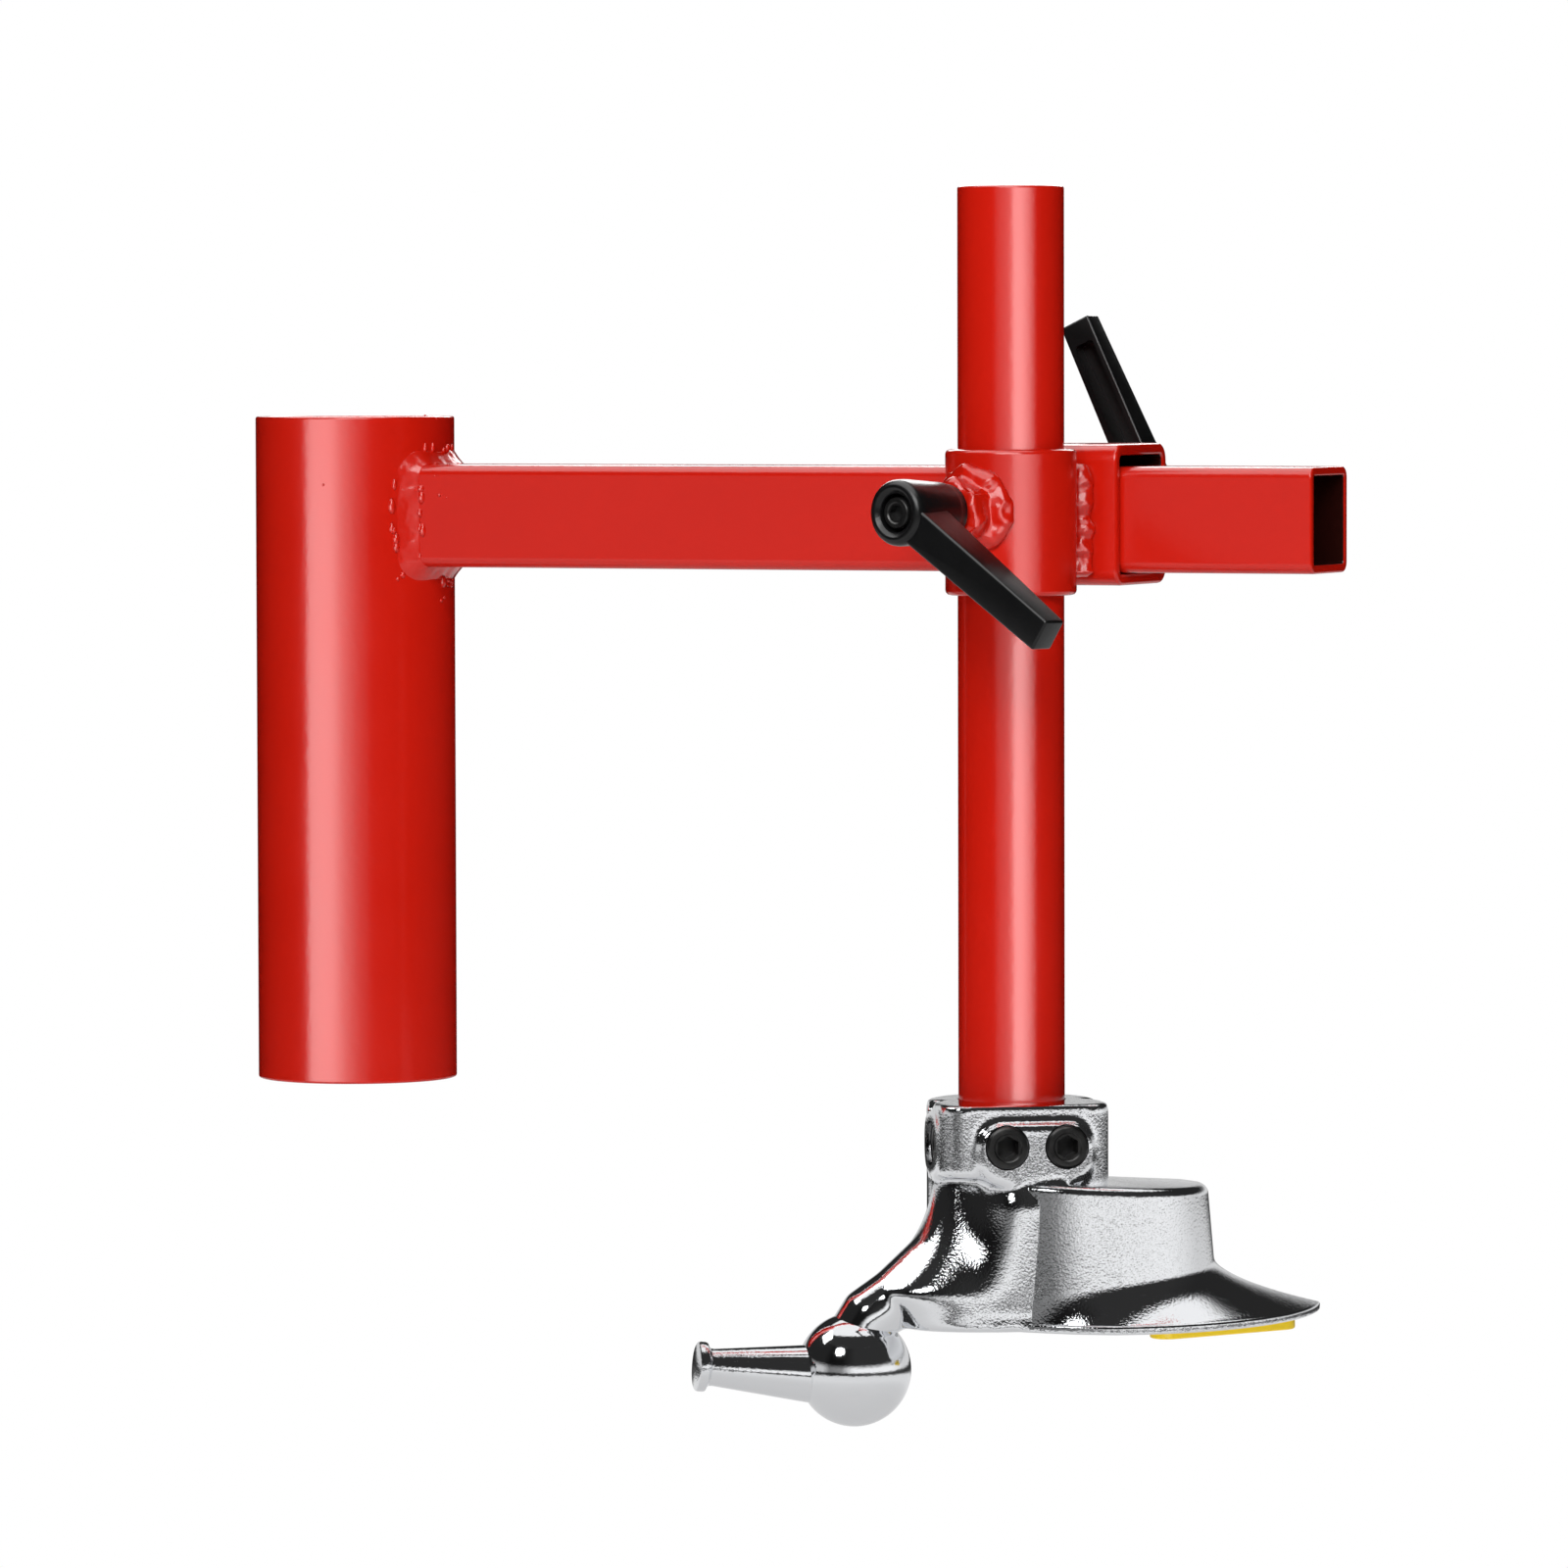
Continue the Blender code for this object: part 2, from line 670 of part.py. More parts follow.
def bill_share(turn):
    """0 where the flange starts at the front left, 1 at the bill on the right."""
    return min(max(1.0 + turn / FLANGE_GROWTH_ARC, 0.0), 1.0)


def body_ring(step):
    """One outline of the body: a front arc from left to right, then a straight back.

    Step 0 is the deck's edge, 1 the foot of the wall, 2 the flange's upper rim
    and 3 the sole. Between 1 and 2 the surface is hollow, as a fillet is.
    """
    points = []
    for index in range(BODY_ARC_POINTS):
        turn = -math.pi + math.pi * index / (BODY_ARC_POINTS - 1)
        share = bill_share(turn)
        heel = max(0.0, -turn - FLANGE_GROWTH_ARC) / (math.pi - FLANGE_GROWTH_ARC)
        width = FLANGE_WIDTH + (BILL_WIDTH - FLANGE_WIDTH) * share**1.5 + HEEL_WIDTH * heel
        foot = WALL_FOOT_LEFT + (WALL_FOOT_RIGHT - WALL_FOOT_LEFT) * share - HEEL_RISE * heel
        rim = SOLE_DROP - RIM_THICKNESS
        along = min(max(step - 1.0, 0.0), 1.0)
        bend = 2 * along * (1 - along)
        flare = width * (bend * FILLET_REACH + along**2)
        fall = bend * FILLET_DEPTH + along**2
        radius = DECK_RADIUS + WALL_DRAFT * min(step, 1.0) + flare
        across = DECK_SHIFT + radius * math.cos(turn)
        height = -foot - (rim - foot) * fall + bill_lift(across) * fall
        if step < 1:
            height = -BOSS_HEIGHT
        if step > 2:
            height = bill_lift(across) - SOLE_DROP
        points.append((across, radius * math.sin(turn), height))
    left, right = Vector(points[0]), Vector(points[-1])
    for share in BACK_SHARES:
        point = right.lerp(left, share)
        points.append((point.x, DECK_BACK, point.z))
    return points


def add_body(shape):
    """Wall under the deck, swept out through a hollow fillet into flange and bill."""
    fillet = [1 + index / FILLET_STEPS for index in range(FILLET_STEPS + 1)]
    loft(shape, [body_ring(step) for step in (0, *fillet, 3)])


def boss_outline():
    """Square at the front with rounded corners, half round at the back."""
    half = BOSS_WIDTH / 2
    middle = half - BOSS_CORNER
    arcs = [
        (0.0, 0.0, half, 0.0, math.pi, 16),
        (-middle, -middle, BOSS_CORNER, math.pi, 1.5 * math.pi, 6),
        (middle, -middle, BOSS_CORNER, 1.5 * math.pi, 2 * math.pi, 6),
    ]
    outline = []
    for x, y, radius, start, end, steps in arcs:
        for step in range(steps):
            turn = start + (end - start) * step / (steps - 1)
            outline.append(Vector((x + radius * math.cos(turn), y + radius * math.sin(turn))))
    return outline


def add_boss(shape):
    """Clamp boss round the post, with a raised pad for the set screws on two faces."""
    prism(shape, boss_outline(), -BOSS_ROOT, 0.0)
    half = BOSS_WIDTH / 2
    front = Matrix.Translation((0, -half, -PAD_DROP)) @ Matrix.Rotation(math.pi / 2, 4, "X")
    side_place = Vector((-half, SIDE_SCREW_SHIFT, -SET_SCREW_DROP))
    left = Matrix.Translation(side_place) @ Matrix.Rotation(-math.pi / 2, 4, "Y")
    pads = ((front, PAD_WIDTH, PAD_HEIGHT, PAD_RAISE), (left, PAD_HEIGHT, PAD_HEIGHT, SIDE_PAD_RAISE))
    for matrix, width, height, rise in pads:
        start = len(shape.verts)
        prism(shape, rounded_rectangle(width, height, BOSS_CORNER), -half / 2, rise)
        shape.verts.ensure_lookup_table()
        bmesh.ops.transform(shape, matrix=matrix, verts=shape.verts[start:])


def add_neck(shape):
    """Neck that leaves the boss downwards and bends out to the ball."""
    stations = [
        (Vector((0.002, -0.003, -0.022)), 0.0215, 0.0220),
        (Vector((-0.002, -0.0045, -0.036)), 0.0205, 0.0255),
        (Vector((-0.013, -0.0065, -0.047)), 0.0175, 0.0245),
        (Vector((-0.030, -0.0075, -0.053)), 0.0125, 0.0190),
        (Vector((-0.0405, -0.0080, -0.062)), 0.0132, 0.0150),
        (BALL_CENTRE, 0.0130, 0.0135),
    ]
    rings = []
    for index, (centre, thick, wide) in enumerate(stations):
        before = stations[max(index - 1, 0)][0]
        after = stations[min(index + 1, len(stations) - 1)][0]
        along = (after - before).normalized()
        across = Vector((0, 1, 0))
        outward = across.cross(along).normalized()
        side = along.cross(outward)
        rings.append([
            centre + outward * (thick * point.x) + side * (wide * point.y) for point in ring(1.0, NECK_POINTS)
        ])
    loft(shape, rings)


def make_head(chrome, frame):
    """The casting: rough forms melted together, then the peg, bores and pocket worked in."""
    shape = bmesh.new()
    add_body(shape)
    add_boss(shape)
    add_neck(shape)
    ball_place = Matrix.Translation(BALL_CENTRE)
    bmesh.ops.create_uvsphere(shape, u_segments=32, v_segments=20, radius=BALL_RADIUS, matrix=ball_place)
    head = make_object("mount_head", shape, chrome, frame)

    melt = head.modifiers.new("melted_together", "REMESH")
    melt.mode = "VOXEL"
    melt.voxel_size = CASTING_GRAIN
    soften = head.modifiers.new("cast_fillets", "SMOOTH")
    soften.factor = 0.5
    soften.iterations = CASTING_SOFTENING
    thin = head.modifiers.new("fewer_faces", "DECIMATE")
    thin.ratio = CASTING_FACES_KEPT
    thin.use_collapse_triangulate = True

    boolean(head, make_peg(frame), "UNION")
    bore_radius = POST_RADIUS + HEAD_BORE_PLAY / 2
    boolean(head, rod_cutter("post_bore", bore_radius, -BORE_DEPTH, BORE_DEPTH, frame))
    hole = SET_SCREW_SIZE / 2 + THREAD_PLAY / 2
    for name, matrix in set_screw_places().items():
        cutter = rod_cutter(name + "_hole", hole, 0.0, BOSS_WIDTH, frame, SMALL_SEGMENTS)
        cutter.matrix_local = matrix
        boolean(head, cutter)
    pocket_shape = bmesh.new()
    pocket_outline = rounded_rectangle(
        INSERT_LENGTH + INSERT_PLAY, INSERT_WIDTH + INSERT_PLAY, (INSERT_WIDTH + INSERT_PLAY) / 2
    )
    prism(pocket_shape, pocket_outline, -INSERT_THICKNESS, INSERT_THICKNESS - INSERT_PROUD + SEAT_GAP)
    pocket = make_cutter("insert_pocket", pocket_shape, frame)
    pocket.matrix_local = insert_place()
    boolean(head, pocket)
    return head


def make_peg(frame):
    """Tapered finger on the ball, with a small end flange."""
    neck_start = BALL_RADIUS / 2
    flange_start = PEG_LENGTH - PEG_FLANGE_THICKNESS
    edge = PEG_FLANGE_THICKNESS / 4
    shape = bmesh.new()
    revolve(shape, [
        (PEG_ROOT_RADIUS, neck_start),
        (PEG_TIP_RADIUS, flange_start),
        (PEG_FLANGE_RADIUS - edge, flange_start),
        (PEG_FLANGE_RADIUS, flange_start + edge),
        (PEG_FLANGE_RADIUS, PEG_LENGTH - edge),
        (PEG_FLANGE_RADIUS - edge, PEG_LENGTH),
    ], SMALL_SEGMENTS)
    peg = make_cutter("peg", shape, frame)
    lean = Matrix.Rotation(PEG_RISE - math.pi / 2, 4, "Y")
    peg.matrix_local = Matrix.Translation(BALL_CENTRE - Vector((0, 0, PEG_DROP))) @ lean
    return peg


def set_screw_places():
    """Frames of the set screws: +Z out of the boss, origin abreast of the post's axis."""
    front = Matrix.Rotation(math.pi / 2, 4, "X")
    left = Matrix.Rotation(-math.pi / 2, 4, "Y")
    half = SET_SCREW_SPACING / 2
    return {
        "front_set_screw_left": Matrix.Translation((-half, 0, -SET_SCREW_DROP)) @ front,
        "front_set_screw_right": Matrix.Translation((half, 0, -SET_SCREW_DROP)) @ front,
        "side_set_screw": Matrix.Translation((0, SIDE_SCREW_SHIFT, -SET_SCREW_DROP)) @ left,
    }


def make_set_screw(name, oxide, frame, matrix):
    """Socket set screw whose point bears on the post."""
    side = name.startswith("side")
    aside = abs(SIDE_SCREW_SHIFT) if side else SET_SCREW_SPACING / 2
    stand_off = -SIDE_SCREW_SINK if side else SET_SCREW_PROUD
    radius = SET_SCREW_SIZE / 2
    point = radius / 2
    foot = math.sqrt(POST_RADIUS**2 - max(aside - point, 0.0) ** 2) + SEAT_GAP
    top = BOSS_WIDTH / 2 + (SIDE_PAD_RAISE if side else PAD_RAISE) + stand_off
    socket = hexagon_ring(SET_SCREW_SOCKET)
    chamfer = radius - point
    steps = [
        (ring(point, HEX_POINTS), foot),
        (ring(radius, HEX_POINTS), foot + chamfer),
        (ring(radius, HEX_POINTS), top - SET_SCREW_EDGE),
        (ring(radius - SET_SCREW_EDGE, HEX_POINTS), top),
        (socket, top),
        (socket, top - SET_SCREW_SOCKET),
    ]
    shape = bmesh.new()
    loft(shape, stack(steps))
    screw = make_object(name, shape, oxide, frame)
    screw.matrix_local = matrix
    return screw


def insert_place():
    """Frame on the sole under the bill, +X along the insert."""
    slope = math.atan2(BILL_LIFT, DECK_RADIUS + BILL_WIDTH) * math.cos(INSERT_TURN)
    across = DECK_SHIFT + DECK_RADIUS + INSERT_OUT
    centre = Vector((across, -INSERT_FORWARD, bill_lift(across) - SOLE_DROP))
    turned = Matrix.Rotation(INSERT_TURN, 4, "Z") @ Matrix.Rotation(-slope, 4, "Y")
    return Matrix.Translation(centre) @ turned


def make_insert(yellow, frame):
    shape = bmesh.new()
    outline = rounded_rectangle(INSERT_LENGTH, INSERT_WIDTH, INSERT_WIDTH / 2)
    prism(shape, outline, -INSERT_PROUD, INSERT_THICKNESS - INSERT_PROUD)
    insert = make_object("bill_insert", shape, yellow, frame)
    insert.matrix_local = insert_place()
    return insert


def build():
    clear_scene()
    paint = make_material("red_powder_coat", (0.62, 0.02, 0.012), 0.22, 0.0)
    chrome = make_material("cast_chrome", (0.78, 0.79, 0.80), 0.12, 1.0)
    black = make_material("black_lever", (0.012, 0.012, 0.013), 0.38, 0.0)
    oxide = make_material("black_oxide", (0.02, 0.02, 0.021), 0.35, 0.8)
    steel = make_material("plain_steel", (0.46, 0.46, 0.47), 0.30, 1.0)
    yellow = make_material("yellow_plastic", (0.90, 0.56, 0.005), 0.45, 0.0)
    finishes = {"paint": paint, "black": black, "oxide": oxide, "steel": steel}

    sleeve_space = rod_cutter("sleeve_space", SLEEVE_RADIUS + SEAT_GAP, -SLEEVE_LENGTH, 2 * SLEEVE_LENGTH)
    collar_space = rod_cutter("collar_space", COLLAR_RADIUS + SEAT_GAP, 0.0, POST_TOP)
    collar_space.location.xy = POST_AXIS.xy
    make_sleeve(paint)
    make_arm(paint, sleeve_space)
    make_arm_weld(paint, sleeve_space)

    front_out = Vector((-math.sin(FRONT_LEVER_SWING), -math.cos(FRONT_LEVER_SWING), 0.0))
    front_centre = POST_AXIS + front_out * FRONT_NUT_FACE
    front_centre.z = ARM_HEIGHT + FRONT_LEVER_RISE
    rear_out = Vector((0.0, 1.0, 0.0))
    rear_centre = Vector((BRACKET_REACH + REAR_LEVER_SHIFT, REAR_NUT_FACE, ARM_HEIGHT + BRACKET_OFFSET))
    bore = THREAD_SIZE / 2 + THREAD_PLAY / 2
    front_bore_frame = outward_frame("front_bore_frame", front_centre, front_out)
    rear_bore_frame = outward_frame("rear_bore_frame", rear_centre, rear_out)
    front_bore = rod_cutter("front_bore", bore, -FRONT_NUT_FACE, 0.0, front_bore_frame, SMALL_SEGMENTS)
    rear_bore = rod_cutter("rear_bore", bore, -REAR_NUT_FACE, 0.0, rear_bore_frame, SMALL_SEGMENTS)
    make_bracket(paint, rear_bore)
    make_collar(paint, front_bore)
    bracket_space = bar_cutter(
        "bracket_space", BRACKET_SIZE + 2 * SEAT_GAP, BRACKET_CORNER, BRACKET_LOW, BRACKET_HIGH,
        BRACKET_OFFSET, ARM_HEIGHT + BRACKET_OFFSET,
    )
    make_collar_weld("left_collar_weld", paint, -1, collar_space, bracket_space)
    make_collar_weld("right_collar_weld", paint, 1, collar_space, bracket_space)
    make_post(paint)
    make_clamp(
        "front", finishes, front_centre, front_out, FRONT_LEVER_DROOP,
        POST_RADIUS + SEAT_GAP - FRONT_NUT_FACE, -FRONT_NUT_FACE / 2, FRONT_NUT_BEAD,
        collar_space, COLLAR_RADIUS,
    )
    make_clamp(
        "rear", finishes, rear_centre, rear_out, REAR_LEVER_LEAN,
        ARM_HALF + SEAT_GAP - REAR_NUT_FACE, -NUT_HEIGHT, REAR_NUT_BEAD, bracket_space, 0.0,
    )

    head_place = Matrix.Translation((POST_AXIS.x, POST_AXIS.y, HEAD_TOP)) @ Matrix.Rotation(HEAD_TURN, 4, "Z")
    head_frame = make_frame("head_frame", head_place)
    make_head(chrome, head_frame)
    for name, matrix in set_screw_places().items():
        make_set_screw(name, oxide, head_frame, matrix)
    make_insert(yellow, head_frame)


build()
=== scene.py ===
import json
import math
import random

import bmesh
import bpy
from mathutils import Matrix, Vector


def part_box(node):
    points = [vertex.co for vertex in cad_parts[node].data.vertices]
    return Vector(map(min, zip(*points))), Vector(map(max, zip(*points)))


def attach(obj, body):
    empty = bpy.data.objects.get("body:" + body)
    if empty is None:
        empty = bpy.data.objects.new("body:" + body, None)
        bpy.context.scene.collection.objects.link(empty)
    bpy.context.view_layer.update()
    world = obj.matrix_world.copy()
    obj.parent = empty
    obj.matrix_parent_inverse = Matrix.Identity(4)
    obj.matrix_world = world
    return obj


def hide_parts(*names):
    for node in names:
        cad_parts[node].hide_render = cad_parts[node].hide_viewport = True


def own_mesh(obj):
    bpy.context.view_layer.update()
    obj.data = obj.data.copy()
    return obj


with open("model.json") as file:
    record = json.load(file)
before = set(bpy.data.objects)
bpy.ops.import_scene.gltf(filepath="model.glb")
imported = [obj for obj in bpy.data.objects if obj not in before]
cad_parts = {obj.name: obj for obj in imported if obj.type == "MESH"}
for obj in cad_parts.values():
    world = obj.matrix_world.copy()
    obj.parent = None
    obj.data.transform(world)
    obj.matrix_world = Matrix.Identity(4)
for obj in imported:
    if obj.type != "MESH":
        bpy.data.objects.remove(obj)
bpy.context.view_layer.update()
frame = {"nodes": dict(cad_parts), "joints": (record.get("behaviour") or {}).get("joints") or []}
nodes = frame["nodes"]


# Camera
# The object is photographed from a little above its head, far back through a long lens, so that upright
# edges stay almost parallel.
VIEW_TURN = math.radians(23.23)
VIEW_PITCH = math.radians(-2.741)
VIEW_ROLL = math.radians(-0.137)
VIEW_DISTANCE = 2.6158
VIEW_TARGET = Vector((0.13729, 0.0, 0.21403))
LENS = 207.9

camera_data = bpy.data.cameras.new("camera")
camera_data.lens = LENS
camera_data.sensor_width = 36.0
camera = bpy.data.objects.new("camera", camera_data)
bpy.context.scene.collection.objects.link(camera)
view_place = VIEW_TARGET + VIEW_DISTANCE * Vector((math.sin(VIEW_TURN), -math.cos(VIEW_TURN), 0.0))
view_turns = Matrix.Rotation(VIEW_TURN, 4, "Z") @ Matrix.Rotation(math.pi / 2 + VIEW_PITCH, 4, "X")
camera.matrix_world = Matrix.Translation(view_place) @ view_turns @ Matrix.Rotation(VIEW_ROLL, 4, "Z")
bpy.context.scene.camera = camera


# Post sleeve
# A length of drawn steel tube that drops over the changer's upright post. It is cut square at both ends,
# and powder-coated red after the arm has been welded to it.
SLEEVE_WALL = 0.0035
TUBE_RIM = 0.0007
TUBE_SIDES = 256
ROD_SIDES = 64
RIM_STEPS = 3
SQUARE_ON = 0.9
BEVEL_FROM = math.radians(40.0)
SMOOTH_UP_TO = math.radians(50.0)
RED = (0.600, 0.0100, 0.0026, 1.0)
DEEP_RED = (0.540, 0.0084, 0.0022, 1.0)
# Near-black red painted on the inner faces of the square tubes as shade.
INNER_SHADE_RED = (0.020, 0.003, 0.002, 1.0)


def feed(node, socket, value):
    """Gives a shader node's socket a value, or joins another node's output to it."""
    if isinstance(value, bpy.types.NodeSocket):
        node.id_data.links.new(value, node.inputs[socket])
    else:
        node.inputs[socket].default_value = value


def add_node(material, kind, output=None, values=None, **settings):
    """Adds a shader node with its settings and what goes into its sockets. Returns one output, or all."""
    node = material.node_tree.nodes.new("ShaderNode" + kind)
    for setting, value in settings.items():
        setattr(node, setting, value)
    for socket, value in (values or {}).items():
        feed(node, socket, value)
    return node.outputs[output] if output else node.outputs


def new_finish(name, **values):
    """Starts a material: its Principled shader and the coordinates of the piece itself."""
    material = bpy.data.materials.new(name)
    material.use_nodes = True
    shader = material.node_tree.nodes["Principled BSDF"]
    for socket, value in values.items():
        feed(shader, socket.replace("_", " "), value)
    return material, shader, add_node(material, "TexCoord", "Object")


def noise(material, places, scale, detail):
    """A cloudy pattern all through a piece."""
    return add_node(material, "TexNoise", "Fac", {"Vector": places, "Scale": scale, "Detail": detail})


def mix_colours(material, share, first, second):
    """One colour going over into another."""
    return add_node(material, "Mix", "Result", {"Factor": share, "A": first, "B": second}, data_type="RGBA")


def clouded_finish(name, cloud, shine, grain, relief, colours=None, **values):
    """A finish with a cloud in its colour and its shine, and a fine grain in relief. The cloud and the grain
    are given as scale and detail, the shine as two roughnesses, and the relief as strength and depth."""
    material, shader, places = new_finish(name, **values)
    clouds = noise(material, places, *cloud)
    bump = {"Height": noise(material, places, *grain), "Strength": relief[0], "Distance": relief[1]}
    gloss = {"Value": clouds, "To Min": shine[0], "To Max": shine[1]}
    feed(shader, "Normal", add_node(material, "Bump", "Normal", bump))
    feed(shader, "Roughness", add_node(material, "MapRange", "Result", gloss))
    if colours:
        feed(shader, "Base Color", mix_colours(material, clouds, *colours))
    return material


def red_powder_coat():
    """Glossy baked powder: a faint cloud in the colour, the ripple of orange peel, and painted shade inside
    the tubes.
    """
    material = clouded_finish(
        "red_powder_coat", cloud=(26.0, 3.0), shine=(0.15, 0.25), grain=(520.0, 1.5), relief=(0.10, 0.0004),
        colours=(DEEP_RED, RED), Roughness=0.2, IOR=1.5,
    )
    shader = material.node_tree.nodes["Principled BSDF"]
    painted = shader.inputs["Base Color"].links[0].from_socket
    # The faces marked inside the square tubes get a painted shade of near black.
    inner_shade_mask = add_node(material, "Attribute", "Fac", attribute_name="bare_inside")
    feed(shader, "Base Color", mix_colours(material, inner_shade_mask, painted, INNER_SHADE_RED))
    return material


def name_new(name):
    """Names the primitive that was just added and puts its place into its mesh."""
    piece = bpy.context.object
    piece.name = name
    piece.data.name = name
    bpy.ops.object.transform_apply()
    return piece


def pick(piece, kind, wanted):
    """In edit mode, selects the faces or the edges whose direction passes a test."""
    bpy.ops.mesh.select_mode(type=kind)
    bpy.ops.mesh.select_all(action="DESELECT")
    mesh = bmesh.from_edit_mesh(piece.data)
    for face in mesh.faces if kind == "FACE" else ():
        face.select_set(wanted(face.normal))
    for edge in mesh.edges if kind == "EDGE" else ():
        edge.select_set(wanted((edge.verts[1].co - edge.verts[0].co).normalized()))
    bmesh.update_edit_mesh(piece.data)


def select_only(piece):
    """Makes a piece the only one that the next operator works on."""
    bpy.ops.object.select_all(action="DESELECT")
    bpy.context.view_layer.objects.active = piece
    piece.select_set(True)


def apply_modifier(piece, kind, **settings):
    """Adds a modifier with its settings and applies it at once."""
    modifier = piece.modifiers.new(kind.lower(), kind)
    for setting, value in settings.items():
        setattr(modifier, setting, value)
    select_only(piece)
    bpy.ops.object.modifier_apply(modifier=modifier.name)


def work_in(piece, tool, operation, solver="MANIFOLD"):
    """Adds a form to a piece or takes one out of it, and throws the form away."""
    apply_modifier(piece, "BOOLEAN", object=tool, operation=operation, solver=solver)
    bpy.data.objects.remove(tool)


def round_edges(piece, width, cutters=()):
    """Rounds the sharp edges, takes the cutters out, and keeps flat faces flat to the light."""
    apply_modifier(
        piece, "BEVEL", width=width, segments=RIM_STEPS, limit_method="ANGLE", angle_limit=BEVEL_FROM
    )
    for cutter in cutters:
        work_in(piece, cutter, "DIFFERENCE", "EXACT")
    bpy.ops.object.shade_smooth_by_angle(angle=SMOOTH_UP_TO)
    apply_modifier(piece, "WEIGHTED_NORMAL", keep_sharp=True)


def rod_between(name, start, end, radius, sides=ROD_SIDES):
    """A plain rod from one point to another."""
    along = end - start
    bpy.ops.mesh.primitive_cylinder_add(
        vertices=sides,
        radius=radius,
        depth=along.length,
        location=(start + end) / 2,
        rotation=along.to_track_quat("Z", "Y").to_euler(),
    )
    return name_new(name)


def open_ends(tube, axis, wall):
    """Makes a tube of a rod or block: insets its two end faces and bridges them through."""
    bpy.ops.object.mode_set(mode="EDIT")
    pick(tube, "FACE", lambda normal: abs(normal[axis]) > SQUARE_ON)
    bpy.ops.mesh.inset(thickness=wall)
    bpy.ops.mesh.bridge_edge_loops()
    bpy.ops.object.mode_set(mode="OBJECT")


def axis_ends(low, high):
    """The two ends of the upright axis through a box."""
    middle = (low + high) / 2
    return [Vector((middle.x, middle.y, level)) for level in (low.z, high.z)]


def round_tube(name, low, high, radius, wall):
    """A tube stood on end between two corners of its box."""
    tube = rod_between(name, *axis_ends(low, high), radius, TUBE_SIDES)
    open_ends(tube, axis=2, wall=wall)
    return tube


def fit(piece, material, body, slot, *cad_nodes):
    """Gives a finished piece its material and its body, and lets it stand for its CAD nodes."""
    piece.data.materials.clear()
    piece.data.materials.append(material)
    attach(piece, body)
    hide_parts(*cad_nodes)


red_paint = red_powder_coat()
sleeve_low, sleeve_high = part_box("post_sleeve")
sleeve_axis = (sleeve_low + sleeve_high) / 2
sleeve_radius = (sleeve_high.y - sleeve_low.y) / 2
sleeve = round_tube("sleeve", sleeve_low, sleeve_high, sleeve_radius, SLEEVE_WALL)
round_edges(sleeve, TUBE_RIM)
fit(sleeve, red_paint, "arm", "red_paint", "post_sleeve")


# Swing arm
# Square steel tube with rounded corners, coped at one end to the sleeve's curve and left open at the
# other. The bracket slides along it.
ARM_WALL = 0.0025
ARM_CORNER = 0.0032
CORNER_STEPS = 8
COPE_GAP = 0.0003
END_FACE = 0.5


def plain_block(name, low, high):
    """A block between two corners."""
    low, high = Vector(low), Vector(high)
    bpy.ops.mesh.primitive_cube_add(size=1.0, location=(low + high) / 2)
    bpy.context.object.scale = high - low
    return name_new(name)


def solid_block(name, low, high, corner, axis):
    """A block between two corners, with its edges along one axis rounded."""
    block = plain_block(name, low, high)
    bpy.ops.object.mode_set(mode="EDIT")
    pick(block, "EDGE", lambda along: abs(along[axis]) > SQUARE_ON)
    bpy.ops.mesh.bevel(offset=corner, segments=CORNER_STEPS)
    bpy.ops.object.mode_set(mode="OBJECT")
    return block


def square_tube(name, start, end, centre, width, wall, corner):
    """A square tube along X with its long edges rounded."""
    half = width / 2
    low = (start, centre.y - half, centre.z - half)
    high = (end, centre.y + half, centre.z + half)
    tube = solid_block(name, low, high, corner, axis=0)
    open_ends(tube, axis=0, wall=wall)
    return tube


def bare_inside(tube, centre):
    """Marks the inner faces of a square tube, which take a painted shade of near black."""
    marks = tube.data.attributes.new("bare_inside", "FLOAT", "FACE")
    for face, mark in zip(tube.data.polygons, marks.data):
        outward = face.center - centre
        inward = face.normal.y * outward.y + face.normal.z * outward.z < 0
        mark.value = 1.0 if inward and abs(face.normal.x) < END_FACE else 0.0


arm_low, arm_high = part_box("swing_arm")
arm_centre = (arm_low + arm_high) / 2
arm_width = arm_high.z - arm_low.z
arm = square_tube("arm", 0.0, arm_high.x, arm_centre, arm_width, ARM_WALL, ARM_CORNER)
cope = rod_between("cope", *axis_ends(sleeve_low, sleeve_high), sleeve_radius + COPE_GAP, TUBE_SIDES)
round_edges(arm, TUBE_RIM, cutters=[cope])
bare_inside(arm, arm_centre)
fit(arm, red_paint, "arm", "red_paint", "swing_arm")


# Weld beads
# Hand-laid fillet welds, painted over with the rest. The one round the arm lies almost flat between arm and
# sleeve, with drops of spatter beside it. The others are lumpier.
WELD_ON_ARM = 0.0036
WELD_ON_SLEEVE = 0.0043
WELD_ROOT = 0.001
WELD_SINK = 0.0003
WELD_CROWN = -0.0002
WELD_SWELLS = ((0.05, 7, 0.7), (0.02, 22, 2.1))
WELD_POINTS = 180
WELD_FACE = 8
SPATTER_SEED = 11
TOE_LUMPS = 30
LUMP_RADII = (0.0005, 0.0011)
LUMP_STRAY = 0.0006
LUMP_STRETCH = 2.4
SPATTER_DROPS = 26
DROP_RADII = (0.0002, 0.0006)
DROP_STRAY = 0.010
ARM_DROP_EVERY = 3
BEAD_GRAIN = 0.0005
BEAD_MELT = 30
BEAD_SETTLE = 4
MERGE_DISTANCE = 0.00001


